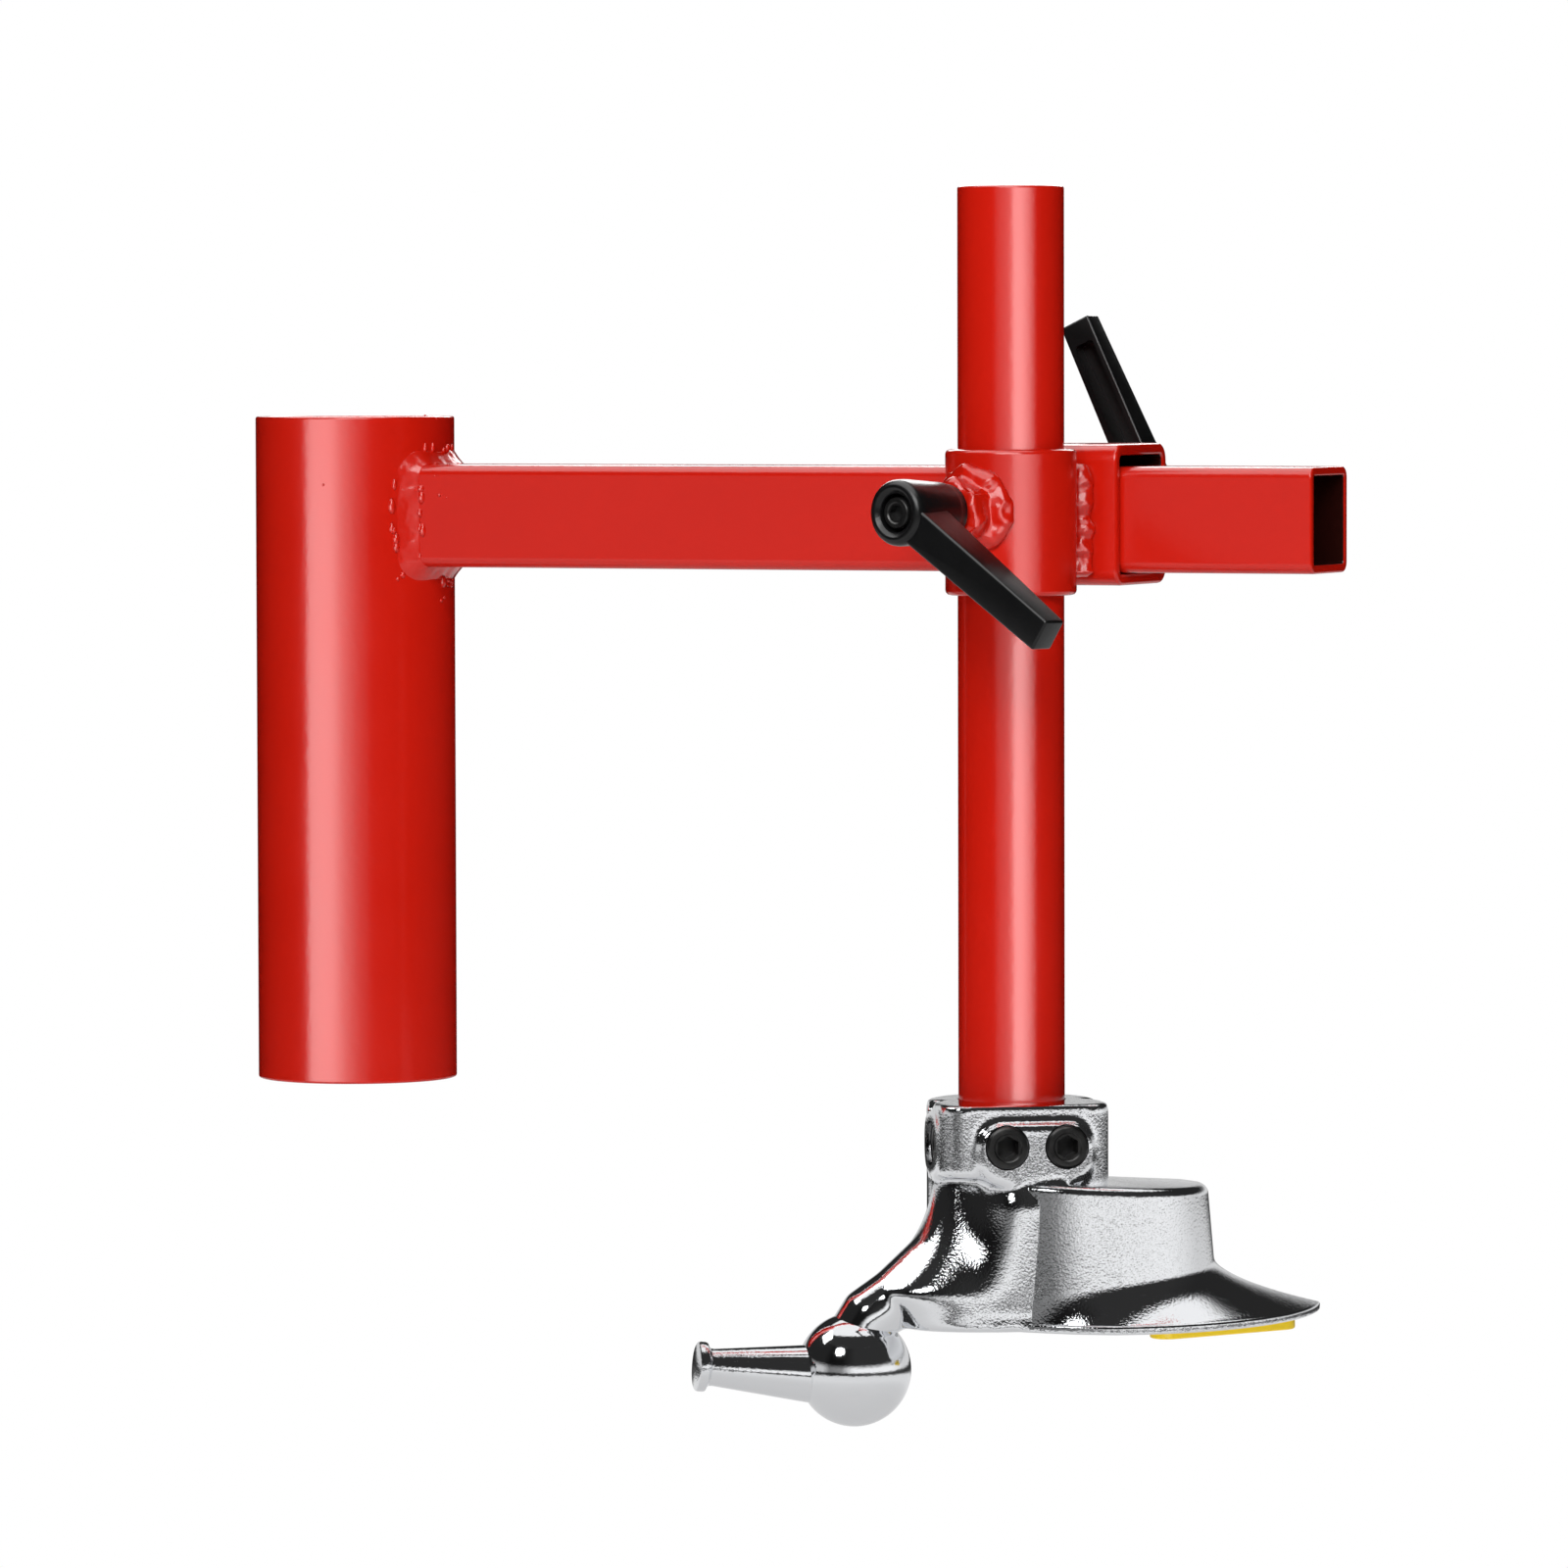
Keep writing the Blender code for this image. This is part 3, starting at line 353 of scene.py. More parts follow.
def skin_over(name, outlines, closed=False):
    """A skin over a row of like outlines, with both ends filled or, when it is closed, joined into a ring."""
    form = bmesh.new()
    rows = [[form.verts.new(point) for point in outline] for outline in outlines]
    count = len(rows[0])
    for lower, upper in zip(rows, rows[1:] + rows[:1] if closed else rows[1:]):
        for index in range(count):
            after = (index + 1) % count
            form.faces.new((lower[index], lower[after], upper[after], upper[index]))
    if not closed:
        form.faces.new(rows[0])
        form.faces.new(rows[-1])
    bmesh.ops.recalc_face_normals(form, faces=form.faces)
    mesh = bpy.data.meshes.new(name)
    form.to_mesh(mesh)
    form.free()
    piece = bpy.data.objects.new(name, mesh)
    bpy.context.scene.collection.objects.link(piece)
    return piece


def join_pieces(name, pieces):
    """Makes one object of several and names it."""
    select_only(pieces[0])
    for piece in pieces:
        piece.select_set(True)
    bpy.ops.object.join()
    pieces[0].name = name
    pieces[0].data.name = name
    return pieces[0]


def own_copy(piece, name):
    """A copy of a piece under a new name, with a mesh of its own."""
    twin = piece.copy()
    twin.data = piece.data.copy()
    twin.name = name
    twin.data.name = name
    twin.parent = None
    bpy.context.scene.collection.objects.link(twin)
    return twin


def square_ring(middle, half, corner, count):
    """Points evenly round a square with round corners in the YZ plane, each with its outward direction."""
    straight = 2 * (half - corner)
    quarter = straight + corner * math.pi / 2
    ring = []
    for step in range(count):
        side, along = divmod(4 * quarter * step / count, quarter)
        turn = side * math.pi / 2 + max(0.0, along - straight) / corner
        facing = Vector((0, math.cos(side * math.pi / 2), math.sin(side * math.pi / 2)))
        tangent = Vector((0, -facing.z, facing.y))
        outward = Vector((0, math.cos(turn), math.sin(turn)))
        centre = (half - corner) * facing + (min(along, straight) - straight / 2) * tangent
        ring.append((middle + centre + corner * outward, outward))
    return ring


def against_sleeve(place, lift=0.0):
    """Moves a point along X on to the sleeve's outside, or a little above it."""
    reach = math.sqrt((sleeve_radius + lift) ** 2 - (place.y - sleeve_axis.y) ** 2)
    return Vector((sleeve_axis.x + reach, place.y, place.z))


def weld_outlines(ring):
    """Cuts through the weld round the arm: a root in the corner, and a face from the arm to the sleeve."""
    outlines = []
    for index, (foot, outward) in enumerate(ring):
        turn = math.tau * index / len(ring)
        swell = 1 + sum(share * math.sin(waves * turn + start) for share, waves, start in WELD_SWELLS)
        root = against_sleeve(foot - WELD_ROOT * outward, -WELD_ROOT)
        arm_toe = against_sleeve(foot - WELD_SINK * outward) + Vector((WELD_ON_ARM * swell, 0, 0))
        sleeve_toe = against_sleeve(foot + WELD_ON_SLEEVE * swell * outward, -WELD_SINK)
        rise = (Vector((1, 0, 0)) + outward).normalized() * WELD_CROWN
        outline = [root]
        for step in range(WELD_FACE + 1):
            share = step / WELD_FACE
            outline.append(arm_toe.lerp(sleeve_toe, share) + 4 * share * (1 - share) * swell * rise)
        outlines.append(outline)
    return outlines


def spatter_drops(ring):
    """Lumps along the weld's toes, and small drops thrown on to the sleeve and the arm beside it."""
    chance = random.Random(SPATTER_SEED)
    drops = []
    for number in range(TOE_LUMPS + SPATTER_DROPS):
        lump = number < TOE_LUMPS
        foot, outward = ring[chance.randrange(len(ring))]
        radius = chance.uniform(*(LUMP_RADII if lump else DROP_RADII))
        away = chance.uniform(-LUMP_STRAY, LUMP_STRAY if lump else DROP_STRAY)
        if number % ARM_DROP_EVERY:
            place = against_sleeve(foot + (WELD_ON_SLEEVE + away) * outward)
        else:
            place = against_sleeve(foot) + Vector((WELD_ON_ARM + away, 0, 0))
        bpy.ops.mesh.primitive_uv_sphere_add(segments=16, ring_count=10, radius=radius, location=place)
        bpy.context.object.scale.z = chance.uniform(1.0, LUMP_STRETCH) if lump else 1.0
        drops.append(name_new("drop"))
    return drops


def puddle(bead, size, depth, layers):
    """Gives a bead the uneven skin of puddled weld."""
    puddles = bpy.data.textures.new(bead.name + "_puddles", "CLOUDS")
    puddles.noise_scale = size
    puddles.noise_depth = layers
    apply_modifier(bead, "DISPLACE", texture=puddles, texture_coords="LOCAL", strength=depth)


def lumpy_bead(name, solids, swell, puddle_size, puddle_depth):
    """A weld bead grown from CAD solids: melted together, swollen to meet the steel, and puddled."""
    bead = join_pieces(name, [own_copy(nodes[node], name) for node in solids])
    bpy.ops.object.mode_set(mode="EDIT")
    bpy.ops.mesh.select_all(action="SELECT")
    bpy.ops.mesh.remove_doubles(threshold=MERGE_DISTANCE)
    bpy.ops.object.mode_set(mode="OBJECT")
    apply_modifier(bead, "REMESH", mode="VOXEL", voxel_size=BEAD_GRAIN)
    apply_modifier(bead, "SMOOTH", iterations=BEAD_MELT)
    apply_modifier(bead, "DISPLACE", strength=swell, mid_level=0.0)
    puddle(bead, puddle_size, puddle_depth, layers=1)
    apply_modifier(bead, "SMOOTH", iterations=BEAD_SETTLE)
    bpy.ops.object.shade_smooth()
    return bead


weld_middle = Vector((0, arm_centre.y, arm_centre.z))
weld_ring = square_ring(weld_middle, arm_width / 2, ARM_CORNER, WELD_POINTS)
arm_bead = skin_over("arm_weld_run", weld_outlines(weld_ring), closed=True)
apply_modifier(arm_bead, "SUBSURF", levels=2)
puddle(arm_bead, size=0.006, depth=0.0004, layers=2)
join_pieces("arm_weld_run", [arm_bead, *spatter_drops(weld_ring)])
bpy.ops.object.shade_smooth()
fit(arm_bead, red_paint, "arm", "red_paint", "arm_weld")


# Arm bracket
# A short length of larger square tube that slides along the arm. Its back wall is drilled for the clamping
# stud.
BRACKET_WALL = 0.0033
BRACKET_CORNER = 0.0050
BRACKET_RIM = 0.0010
STUD_WAY = 0.0053
DRILL_LENGTH = 0.02

joints = {joint["name"]: joint for joint in frame["joints"]}


def lever_line(side):
    """The place of a clamping lever's nut face and the direction in which the lever stands out."""
    joint = joints[side + "_lever_turn"]
    return Vector(joint["pos_m"]), Vector(joint["axis"])


def stud_drill(side):
    """A drill for a clamping stud, from the nut's face inwards."""
    face, outward = lever_line(side)
    return rod_between(side + "_drill", face - DRILL_LENGTH * outward, face, STUD_WAY)


bracket_low, bracket_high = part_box("arm_bracket")
bracket_centre = (bracket_low + bracket_high) / 2
bracket_width = bracket_high.z - bracket_low.z
bracket = square_tube(
    "bracket", bracket_low.x, bracket_high.x, bracket_centre, bracket_width, BRACKET_WALL, BRACKET_CORNER
)
round_edges(bracket, BRACKET_RIM, cutters=[stud_drill("rear")])
bare_inside(bracket, bracket_centre)
fit(bracket, red_paint, "slider", "red_paint", "arm_bracket")


# Post collar
# A ring of tube welded to the bracket's front, which guides the drop post. It is drilled for the front
# clamping stud.
COLLAR_WALL = 0.0030
COLLAR_RIM = 0.0014

collar_low, collar_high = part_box("post_collar")
collar_radius = (collar_high.x - collar_low.x) / 2
collar = round_tube("collar", collar_low, collar_high, collar_radius, COLLAR_WALL)
round_edges(collar, COLLAR_RIM, cutters=[stud_drill("front")])
fit(collar, red_paint, "slider", "red_paint", "post_collar")

small_beads = []
for weld in ("left_collar_weld", "right_collar_weld"):
    collar_bead = lumpy_bead(weld + "_run", [weld], swell=0.0001, puddle_size=0.005, puddle_depth=0.0022)
    fit(collar_bead, red_paint, "slider", "red_paint", weld)
    small_beads.append(collar_bead)


# Clamp nuts and their welds
# A hexagon nut is set over each drilled hole, welded all round and painted with the rest. Little of the nut
# shows, because the lumpy weld runs over its flats.
NUT_WELD = {"swell": 0.0006, "puddle_size": 0.007, "puddle_depth": 0.0034}


def show_node(node, material):
    """Gives its material to a CAD solid that is shown as it is."""
    for material_slot in nodes[node].material_slots:
        material_slot.material = material


for side in ("front", "rear"):
    show_node(side + "_clamp_nut", red_paint)
    nut_bead = lumpy_bead(side + "_nut_weld_run", [side + "_nut_weld", side + "_clamp_nut"], **NUT_WELD)
    fit(nut_bead, red_paint, "slider", "red_paint", side + "_nut_weld")
    small_beads.append(nut_bead)


# Drop post
# Round tube that slides up and down in the collar and carries the head at its foot. It is cut square and
# left open at the top.
POST_WALL = 0.0030

post_low, post_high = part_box("drop_post")
post_axis = (post_low + post_high) / 2
post_radius = (post_high.x - post_low.x) / 2
post = round_tube("post", post_low, post_high, post_radius, POST_WALL)
round_edges(post, TUBE_RIM)
fit(post, red_paint, "post", "red_paint", "drop_post")


# Mount head
# One steel casting, bright chromed: a boss that clamps the post, a deck with its round wall, a bill that
# grows out of the wall's foot, and a skirt that sweeps to the left into a neck, a ball and a peg. The wall
# is machined, so its edges are crisp where the rest is soft.
HEAD_TURN = math.radians(34.0)
BOSS_HALF = 0.024
BOSS_CORNER = 0.007
BOSS_FOOT = 0.0205
BOSS_ROOT = 0.050
BOSS_UNDERCUT = 0.013
BACK_POINTS = 64
PAD_SIZE = Vector((0.033, 0.018))
PAD_DROP = 0.014
PAD_FOOT = 0.0225
PAD_RAISE = 0.003
SIDE_PAD_RAISE = 0.0008
SCREW_DROP = 0.0115
FRONT_SCREW_SHIFT = 0.0015
SIDE_SCREW_SHIFT = -0.006
SCREW_HALF_SPACING = 0.0085
SKIRT_TOP = 0.019
SKIRT_RIGHT = 0.010
SKIRT_MIDDLE = -0.006
SKIRT_FRONT = 0.0305
SKIRT_BACK = 0.008
SKIRT_FLARE = 0.0012
SKIRT_FLARE_DEPTH = 0.006
SKIRT_SWEEP = 0.027
SKIRT_SWEEP_DEPTH = 0.039
SKIRT_SWEEP_POWER = 2.3
SHOULDER_INSET = 0.0140
SHOULDER_DEPTH = 0.042
COVE_INSET = 0.0060
COVE_DEPTH = 0.010
SHOULDER_START = -0.005
SHOULDER_RUN = 0.014
SKIRT_HEEL = 0.0345
SKIRT_HEEL_RAKE = 0.75
SKIRT_POINTS = 120
SKIRT_LEVELS = 30
SOLE_DROP = 0.063
NECK_POINTS = 48
NECK_STATIONS = (
    (Vector((-0.0240, -0.0080, -0.0460)), 0.0095, 0.0110),
    (Vector((-0.0350, -0.0080, -0.0548)), 0.0086, 0.0105),
    (Vector((-0.0432, -0.0082, -0.0600)), 0.0084, 0.0100),
    (Vector((-0.0480, -0.0082, -0.0668)), 0.0080, 0.0092),
)
BALL_CENTRE = Vector((-0.0470, -0.0080, -0.0747))
BALL_RADIUS = 0.016
TURNED_SIDES = 96
PEG_DROP = 0.002
PEG_RISE = math.radians(5.0)
PEG_PROFILE = (
    (0.0086, 0.0080), (0.0079, 0.0150), (0.0052, 0.0404), (0.0053, 0.0416),
    (0.0060, 0.0423), (0.0068, 0.0426), (0.0070, 0.0431), (0.0070, 0.0444),
    (0.0068, 0.0450), (0.0063, 0.0453),
)
DECK_DROP = 0.0214
DECK_SLOPE = math.radians(3.2)
DECK_RADIUS = 0.0353
DECK_SHIFT = 0.0207
DECK_BACK = 0.006
DECK_EDGE = 0.0026
DECK_EDGE_ANGLES = range(90, -1, -10)
WALL_DRAFT = 0.0016
WALL_FOOT_LEFT = 0.0510
WALL_FOOT_RIGHT = 0.0450
FLANGE_ARC = math.radians(125.0)
FLANGE_WIDTH = 0.0016
FLANGE_POWER = 1.5
BILL_WIDTH = 0.032
BILL_LIFT = 0.0012
RIM_THICKNESS = 0.0026
RIM_EDGE = 0.0009
RIM_EDGE_ANGLES = range(60, -91, -30)
FILLET_REACH = 0.05
FILLET_DEPTH = 0.45
FILLET_STEPS = 24
WALL_POINTS = 200
BACK_SHARES = (0.05, 0.5, 0.95)
BORE_RADIUS = 0.0153
BORE_SIDES = 128
BORE_START = 0.01
BORE_DEPTH = 0.045
BORE_SHEATH = 0.019
SCREW_HOLE = 0.0063
CASTING_GRAIN = 0.0008
CASTING_SOFTENING = 20
CAST_SMOOTH_UP_TO = math.radians(32.0)
CHROME = (0.84, 0.85, 0.87, 1.0)


def move_piece(piece, place):
    """Moves a piece and puts its new place into its mesh."""
    select_only(piece)
    piece.matrix_world = place
    bpy.ops.object.transform_apply()


def turned(name, profile, place, sides=TURNED_SIDES):
    """A lathe-turned piece along Z, drawn out ring by ring from a disc and then moved to its place."""
    radius, height = profile[0]
    bpy.ops.mesh.primitive_circle_add(
        vertices=sides, radius=radius, fill_type="NGON", location=(0, 0, height)
    )
    piece = name_new(name)
    bpy.ops.object.mode_set(mode="EDIT")
    bpy.ops.mesh.select_all(action="SELECT")
    for next_radius, next_height in profile[1:]:
        rise = (0.0, 0.0, next_height - height)
        bpy.ops.mesh.extrude_region_move(TRANSFORM_OT_translate={"value": rise})
        share = next_radius / radius
        bpy.ops.transform.resize(value=(share, share, 1.0), center_override=(0.0, 0.0, next_height))
        radius, height = next_radius, next_height
    bpy.ops.mesh.select_all(action="SELECT")
    bpy.ops.mesh.normals_make_consistent()
    bpy.ops.object.mode_set(mode="OBJECT")
    move_piece(piece, place)
    return piece


def boss_forms():
    """The clamp boss: square in front, round behind, undercut at its left, with two pads for the screws."""
    half = BOSS_HALF
    pad = PAD_SIZE / 2
    middle = FRONT_SCREW_SHIFT
    turns = [math.pi * step / BACK_POINTS for step in range(BACK_POINTS + 1)]
    back = [half * Vector((math.cos(turn), math.sin(turn), 0)) for turn in turns]
    back_levels = [[point - Vector((0, 0, drop)) for point in back] for drop in (BOSS_ROOT, 0.0)]
    blocks = (
        ("boss_front", (-half, -half, -BOSS_FOOT), (half, 0, 0), 2),
        ("boss_core", (-BOSS_UNDERCUT, -half, -BOSS_ROOT), (half, 0, -BOSS_FOOT / 2), 2),
        (
            "front_pad",
            (middle - pad.x, -half - PAD_RAISE, -PAD_FOOT),
            (middle + pad.x, -half / 2, -PAD_DROP + pad.y),
            1,
        ),
        (
            "side_pad",
            (-half - SIDE_PAD_RAISE, SIDE_SCREW_SHIFT - pad.y, -SCREW_DROP - pad.y),
            (-half / 2, SIDE_SCREW_SHIFT + pad.y, -SCREW_DROP + pad.y),
            0,
        ),
    )
    return [
        skin_over("boss_back", back_levels),
        rod_between("bore_sheath", Vector((0, 0, -BOSS_ROOT)), Vector(), BORE_SHEATH, BORE_SIDES),
        *(solid_block(name, low, high, BOSS_CORNER, axis) for name, low, high, axis in blocks),
    ]


def skirt_outline(depth):
    """A level outline of the skirt: a flattened half oval that bulges to the left."""
    fallen = (depth - SKIRT_TOP) / (SOLE_DROP - SKIRT_TOP)
    swept = SKIRT_SWEEP * ((depth - SKIRT_TOP) / SKIRT_SWEEP_DEPTH) ** SKIRT_SWEEP_POWER
    heel = SKIRT_HEEL + SKIRT_HEEL_RAKE * (SOLE_DROP - depth)
    length = SKIRT_RIGHT + min(BOSS_HALF + swept, heel)
    flare = SKIRT_FLARE * max(0.0, 1 - (SOLE_DROP - depth) / SKIRT_FLARE_DEPTH) ** 2
    power = 2 / (2 + fallen)
    shoulder = SHOULDER_INSET * max(0.0, 1 - (depth - SKIRT_TOP) / SHOULDER_DEPTH) ** 2
    cove = COVE_INSET * max(0.0, 1 - (depth - SKIRT_TOP) / COVE_DEPTH) ** 2
    middle = SKIRT_POINTS / 2
    outline = []
    for step in range(SKIRT_POINTS + 1):
        turn = math.pi * step / SKIRT_POINTS
        reach = length * math.sin(turn) ** power
        leftward = min(max((reach - SKIRT_RIGHT + SHOULDER_START) / SHOULDER_RUN, 0.0), 1.0)
        inset = cove + (shoulder - cove) * leftward**2 * (3 - 2 * leftward)
        front = SKIRT_FRONT + SKIRT_MIDDLE + flare - inset
        width = front if step < middle else SKIRT_BACK - SKIRT_MIDDLE
        across = math.copysign(width * abs(math.cos(turn)) ** power, step - middle)
        outline.append((SKIRT_RIGHT - reach, SKIRT_MIDDLE + across, -depth))
    return outline


def neck_outlines():
    """Ovals along the neck, from inside the skirt down into the ball."""
    centres = [station[0] for station in NECK_STATIONS] + [BALL_CENTRE]
    turns = [math.tau * step / NECK_POINTS for step in range(NECK_POINTS)]
    outlines = []
    for index, (centre, thick, wide) in enumerate(NECK_STATIONS):
        along = (centres[index + 1] - centres[max(index - 1, 0)]).normalized()
        outward = Vector((0, 1, 0)).cross(along).normalized()
        side = along.cross(outward)
        outlines.append([
            centre + outward * (thick * math.cos(turn)) + side * (wide * math.sin(turn)) for turn in turns
        ])
    outlines.append([point + BALL_CENTRE - centres[-2] for point in outlines[-1]])
    return outlines


def wall_profile(turn):
    """The cut through the wall at one turn round the deck: deck edge, wall, hollow fillet, rim and sole."""
    share = min(max(1.0 + turn / FLANGE_ARC, 0.0), 1.0)
    width = FLANGE_WIDTH + (BILL_WIDTH - FLANGE_WIDTH) * share**FLANGE_POWER
    foot = WALL_FOOT_LEFT + (WALL_FOOT_RIGHT - WALL_FOOT_LEFT) * share
    rim = SOLE_DROP - RIM_THICKNESS

    def at(radius, height):
        return Vector((DECK_SHIFT + radius * math.cos(turn), radius * math.sin(turn), height))

    def lifted(point, share):
        rise = BILL_LIFT * max(0.0, point.x - DECK_SHIFT) / (DECK_RADIUS + BILL_WIDTH)
        return point + Vector((0, 0, rise * share))

    points = []
    for angle in DECK_EDGE_ANGLES:
        tip = math.radians(angle)
        inner = DECK_RADIUS - DECK_EDGE * (1 - math.cos(tip))
        point = at(inner, -DECK_EDGE * (1 - math.sin(tip)))
        point.z -= DECK_DROP + math.tan(DECK_SLOPE) * point.x
        points.append(point)
    base = DECK_RADIUS + WALL_DRAFT
    for step in range(FILLET_STEPS + 1):
        along = step / FILLET_STEPS
        bend = 2 * along * (1 - along)
        fall = bend * FILLET_DEPTH + along**2
        flare = (width - RIM_EDGE) * (bend * FILLET_REACH + along**2)
        points.append(lifted(at(base + flare, -foot - (rim - foot) * fall), fall))
    outer = base + width - RIM_EDGE
    for angle in RIM_EDGE_ANGLES:
        tip = math.radians(angle)
        level = -rim - RIM_EDGE if angle >= 0 else RIM_EDGE - SOLE_DROP
        point = at(outer + RIM_EDGE * math.cos(tip), level + RIM_EDGE * math.sin(tip))
        points.append(lifted(point, 1.0))
    return points


def wall_outlines():
    """The outlines of deck, wall and bill, one above the other: an arc in front and a straight back."""
    profiles = [wall_profile(-math.pi + math.pi * step / (WALL_POINTS - 1)) for step in range(WALL_POINTS)]
    outlines = []
    for row in zip(*profiles):
        outline = list(row)
        for share in BACK_SHARES:
            point = row[-1].lerp(row[0], share)
            outline.append(Vector((point.x, DECK_BACK, point.z)))
        outlines.append(outline)
    return outlines


def screw_places():
    """Frames of the set screws: +Z out of the boss, the origin abreast of the post's axis."""
    front = Matrix.Rotation(math.pi / 2, 4, "X")
    left = Matrix.Rotation(-math.pi / 2, 4, "Y")
    half = SCREW_HALF_SPACING
    return {
        "front_set_screw_left": Matrix.Translation((FRONT_SCREW_SHIFT - half, 0, -SCREW_DROP)) @ front,
        "front_set_screw_right": Matrix.Translation((FRONT_SCREW_SHIFT + half, 0, -SCREW_DROP)) @ front,
        "side_set_screw": Matrix.Translation((0, SIDE_SCREW_SHIFT, -SCREW_DROP)) @ left,
    }


def cast_chrome(ball_place):
    """Bright chrome over a casting: mirror-like, with a fine grain that is weaker on the polished ball."""
    material, shader, places = new_finish("cast_chrome", Base_Color=CHROME, Metallic=1.0, Roughness=0.07)
    distance = add_node(material, "VectorMath", "Value", {0: places, 1: ball_place}, operation="DISTANCE")
    off_ball = {"Value": distance, "From Min": 0.020, "From Max": 0.040, "To Min": 0.05, "To Max": 0.24}
    broad = {"Height": noise(material, places, scale=160.0, detail=2.0), "Strength": 0.02, "Distance": 0.002}
    fine = {
        "Height": noise(material, places, scale=1500.0, detail=2.0),
        "Strength": add_node(material, "MapRange", "Result", off_ball),
        "Distance": 0.0003,
        "Normal": add_node(material, "Bump", "Normal", broad),
    }
    feed(shader, "Normal", add_node(material, "Bump", "Normal", fine))
    return material


head_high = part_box("mount_head")[1]
head_place = Matrix.Translation((post_axis.x, post_axis.y, head_high.z)) @ Matrix.Rotation(HEAD_TURN, 4, "Z")
skirt_shares = [level / SKIRT_LEVELS for level in range(SKIRT_LEVELS + 1)]
skirt_depths = [SKIRT_TOP + (SOLE_DROP - SKIRT_TOP) * share for share in skirt_shares]
skirt = skin_over("skirt", [skirt_outline(depth) for depth in skirt_depths])
neck = skin_over("neck", neck_outlines())
head = join_pieces("head", [skirt, neck, *boss_forms()])
apply_modifier(head, "REMESH", mode="VOXEL", voxel_size=CASTING_GRAIN)
apply_modifier(head, "SMOOTH", iterations=CASTING_SOFTENING)
work_in(head, skin_over("wall", wall_outlines()), "UNION")
bpy.ops.mesh.primitive_uv_sphere_add(segments=96, ring_count=48, radius=BALL_RADIUS, location=BALL_CENTRE)
work_in(head, name_new("ball"), "UNION")
peg_lean = Matrix.Rotation(PEG_RISE - math.pi / 2, 4, "Y")
peg_place = Matrix.Translation(BALL_CENTRE - Vector((0, 0, PEG_DROP))) @ peg_lean
work_in(head, turned("peg", PEG_PROFILE, peg_place), "UNION")
bore_end = Vector((0, 0, -BORE_DEPTH))
bore = rod_between("bore", bore_end, Vector((0, 0, BORE_START)), BORE_RADIUS, BORE_SIDES)
work_in(head, bore, "DIFFERENCE")
for name, place in screw_places().items():
    hole_end = place @ Vector((0, 0, 2 * BOSS_HALF))
    work_in(head, rod_between(name + "_hole", place.translation, hole_end, SCREW_HOLE), "DIFFERENCE")


# Bill insert
# A strip of yellow plastic that keeps the bill off the rim's lacquer, pushed into a pocket in the sole and
# left standing proud of it.
INSERT_SIZE = Vector((0.046, 0.010, 0.0052))
INSERT_PROUD = 0.0030
INSERT_FORWARD = 0.0213
INSERT_TURN = math.radians(18.0)
INSERT_END = 0.0048
INSERT_EDGE = 0.0006
POCKET_PLAY = 0.0003
YELLOW = (0.95, 0.66, 0.012, 1.0)


def insert_block(name, play):
    """The strip's own shape, or with some play all round, the pocket that takes it."""
    half = INSERT_SIZE / 2
    low = (-half.x - play, -half.y - play, -INSERT_PROUD)
    high = (half.x + play, half.y + play, INSERT_SIZE.z - INSERT_PROUD + play)
    block = solid_block(name, low, high, INSERT_END, axis=2)
    slope = math.atan2(BILL_LIFT, DECK_RADIUS + BILL_WIDTH) * math.cos(INSERT_TURN)
    rise = BILL_LIFT * DECK_RADIUS / (DECK_RADIUS + BILL_WIDTH)
    centre = Vector((DECK_SHIFT + DECK_RADIUS, -INSERT_FORWARD, rise - SOLE_DROP))
    turns = Matrix.Rotation(INSERT_TURN, 4, "Z") @ Matrix.Rotation(-slope, 4, "Y")
    move_piece(block, Matrix.Translation(centre) @ turns)
    return block


work_in(head, insert_block("pocket", POCKET_PLAY), "DIFFERENCE")
move_piece(head, head_place)
bpy.ops.object.shade_smooth_by_angle(angle=CAST_SMOOTH_UP_TO)
fit(head, cast_chrome(head_place @ BALL_CENTRE), "head", "cast_chrome", "mount_head")
insert = insert_block("insert", 0.0)
round_edges(insert, INSERT_EDGE)
move_piece(insert, head_place)
yellow_nylon = clouded_finish(
    "yellow_plastic", cloud=(90.0, 3.0), shine=(0.32, 0.46), grain=(1800.0, 2.0), relief=(0.08, 0.0003),
    Base_Color=YELLOW, Roughness=0.38,
)
fit(insert, yellow_nylon, "head", "yellow_plastic", "bill_insert")


# Set screws
# Socket set screws of steel with an oiled black oxide, worn to a sheen in patches. They run into tapped holes
# in the boss until their points bear on the post.
SCREW_RADIUS = 0.006
SCREW_POINT = 0.003
SCREW_SOCKET = 0.0034
SCREW_SOCKET_DEPTH = 0.006
SCREW_SEAT_GAP = 0.0004
FRONT_SCREW_PROUD = 0.0012
SIDE_SCREW_SINK = 0.0015
SCREW_RIM = ((0.0, 0.0011), (0.0002, 0.0005), (0.0006, 0.0001), (0.0011, 0.0))
SCREW_MOUTH = 0.0041
SCREW_MOUTH_EDGE = 0.0004
SMALL_SIDES = 64
OXIDE_BLACK = (0.012, 0.012, 0.013, 1.0)
OXIDE_WORN = (0.070, 0.069, 0.067, 1.0)


def hexagon_socket(screw, place, top, depth, radius):
    """Punches a hexagon into a screw's end."""
    low, high = Vector((0, 0, top - depth)), Vector((0, 0, top + depth))
    hexagon = rod_between("hexagon", low, high, radius, sides=6)
    move_piece(hexagon, place)
    work_in(screw, hexagon, "DIFFERENCE")
    bpy.ops.object.shade_smooth_by_angle(angle=CAST_SMOOTH_UP_TO)


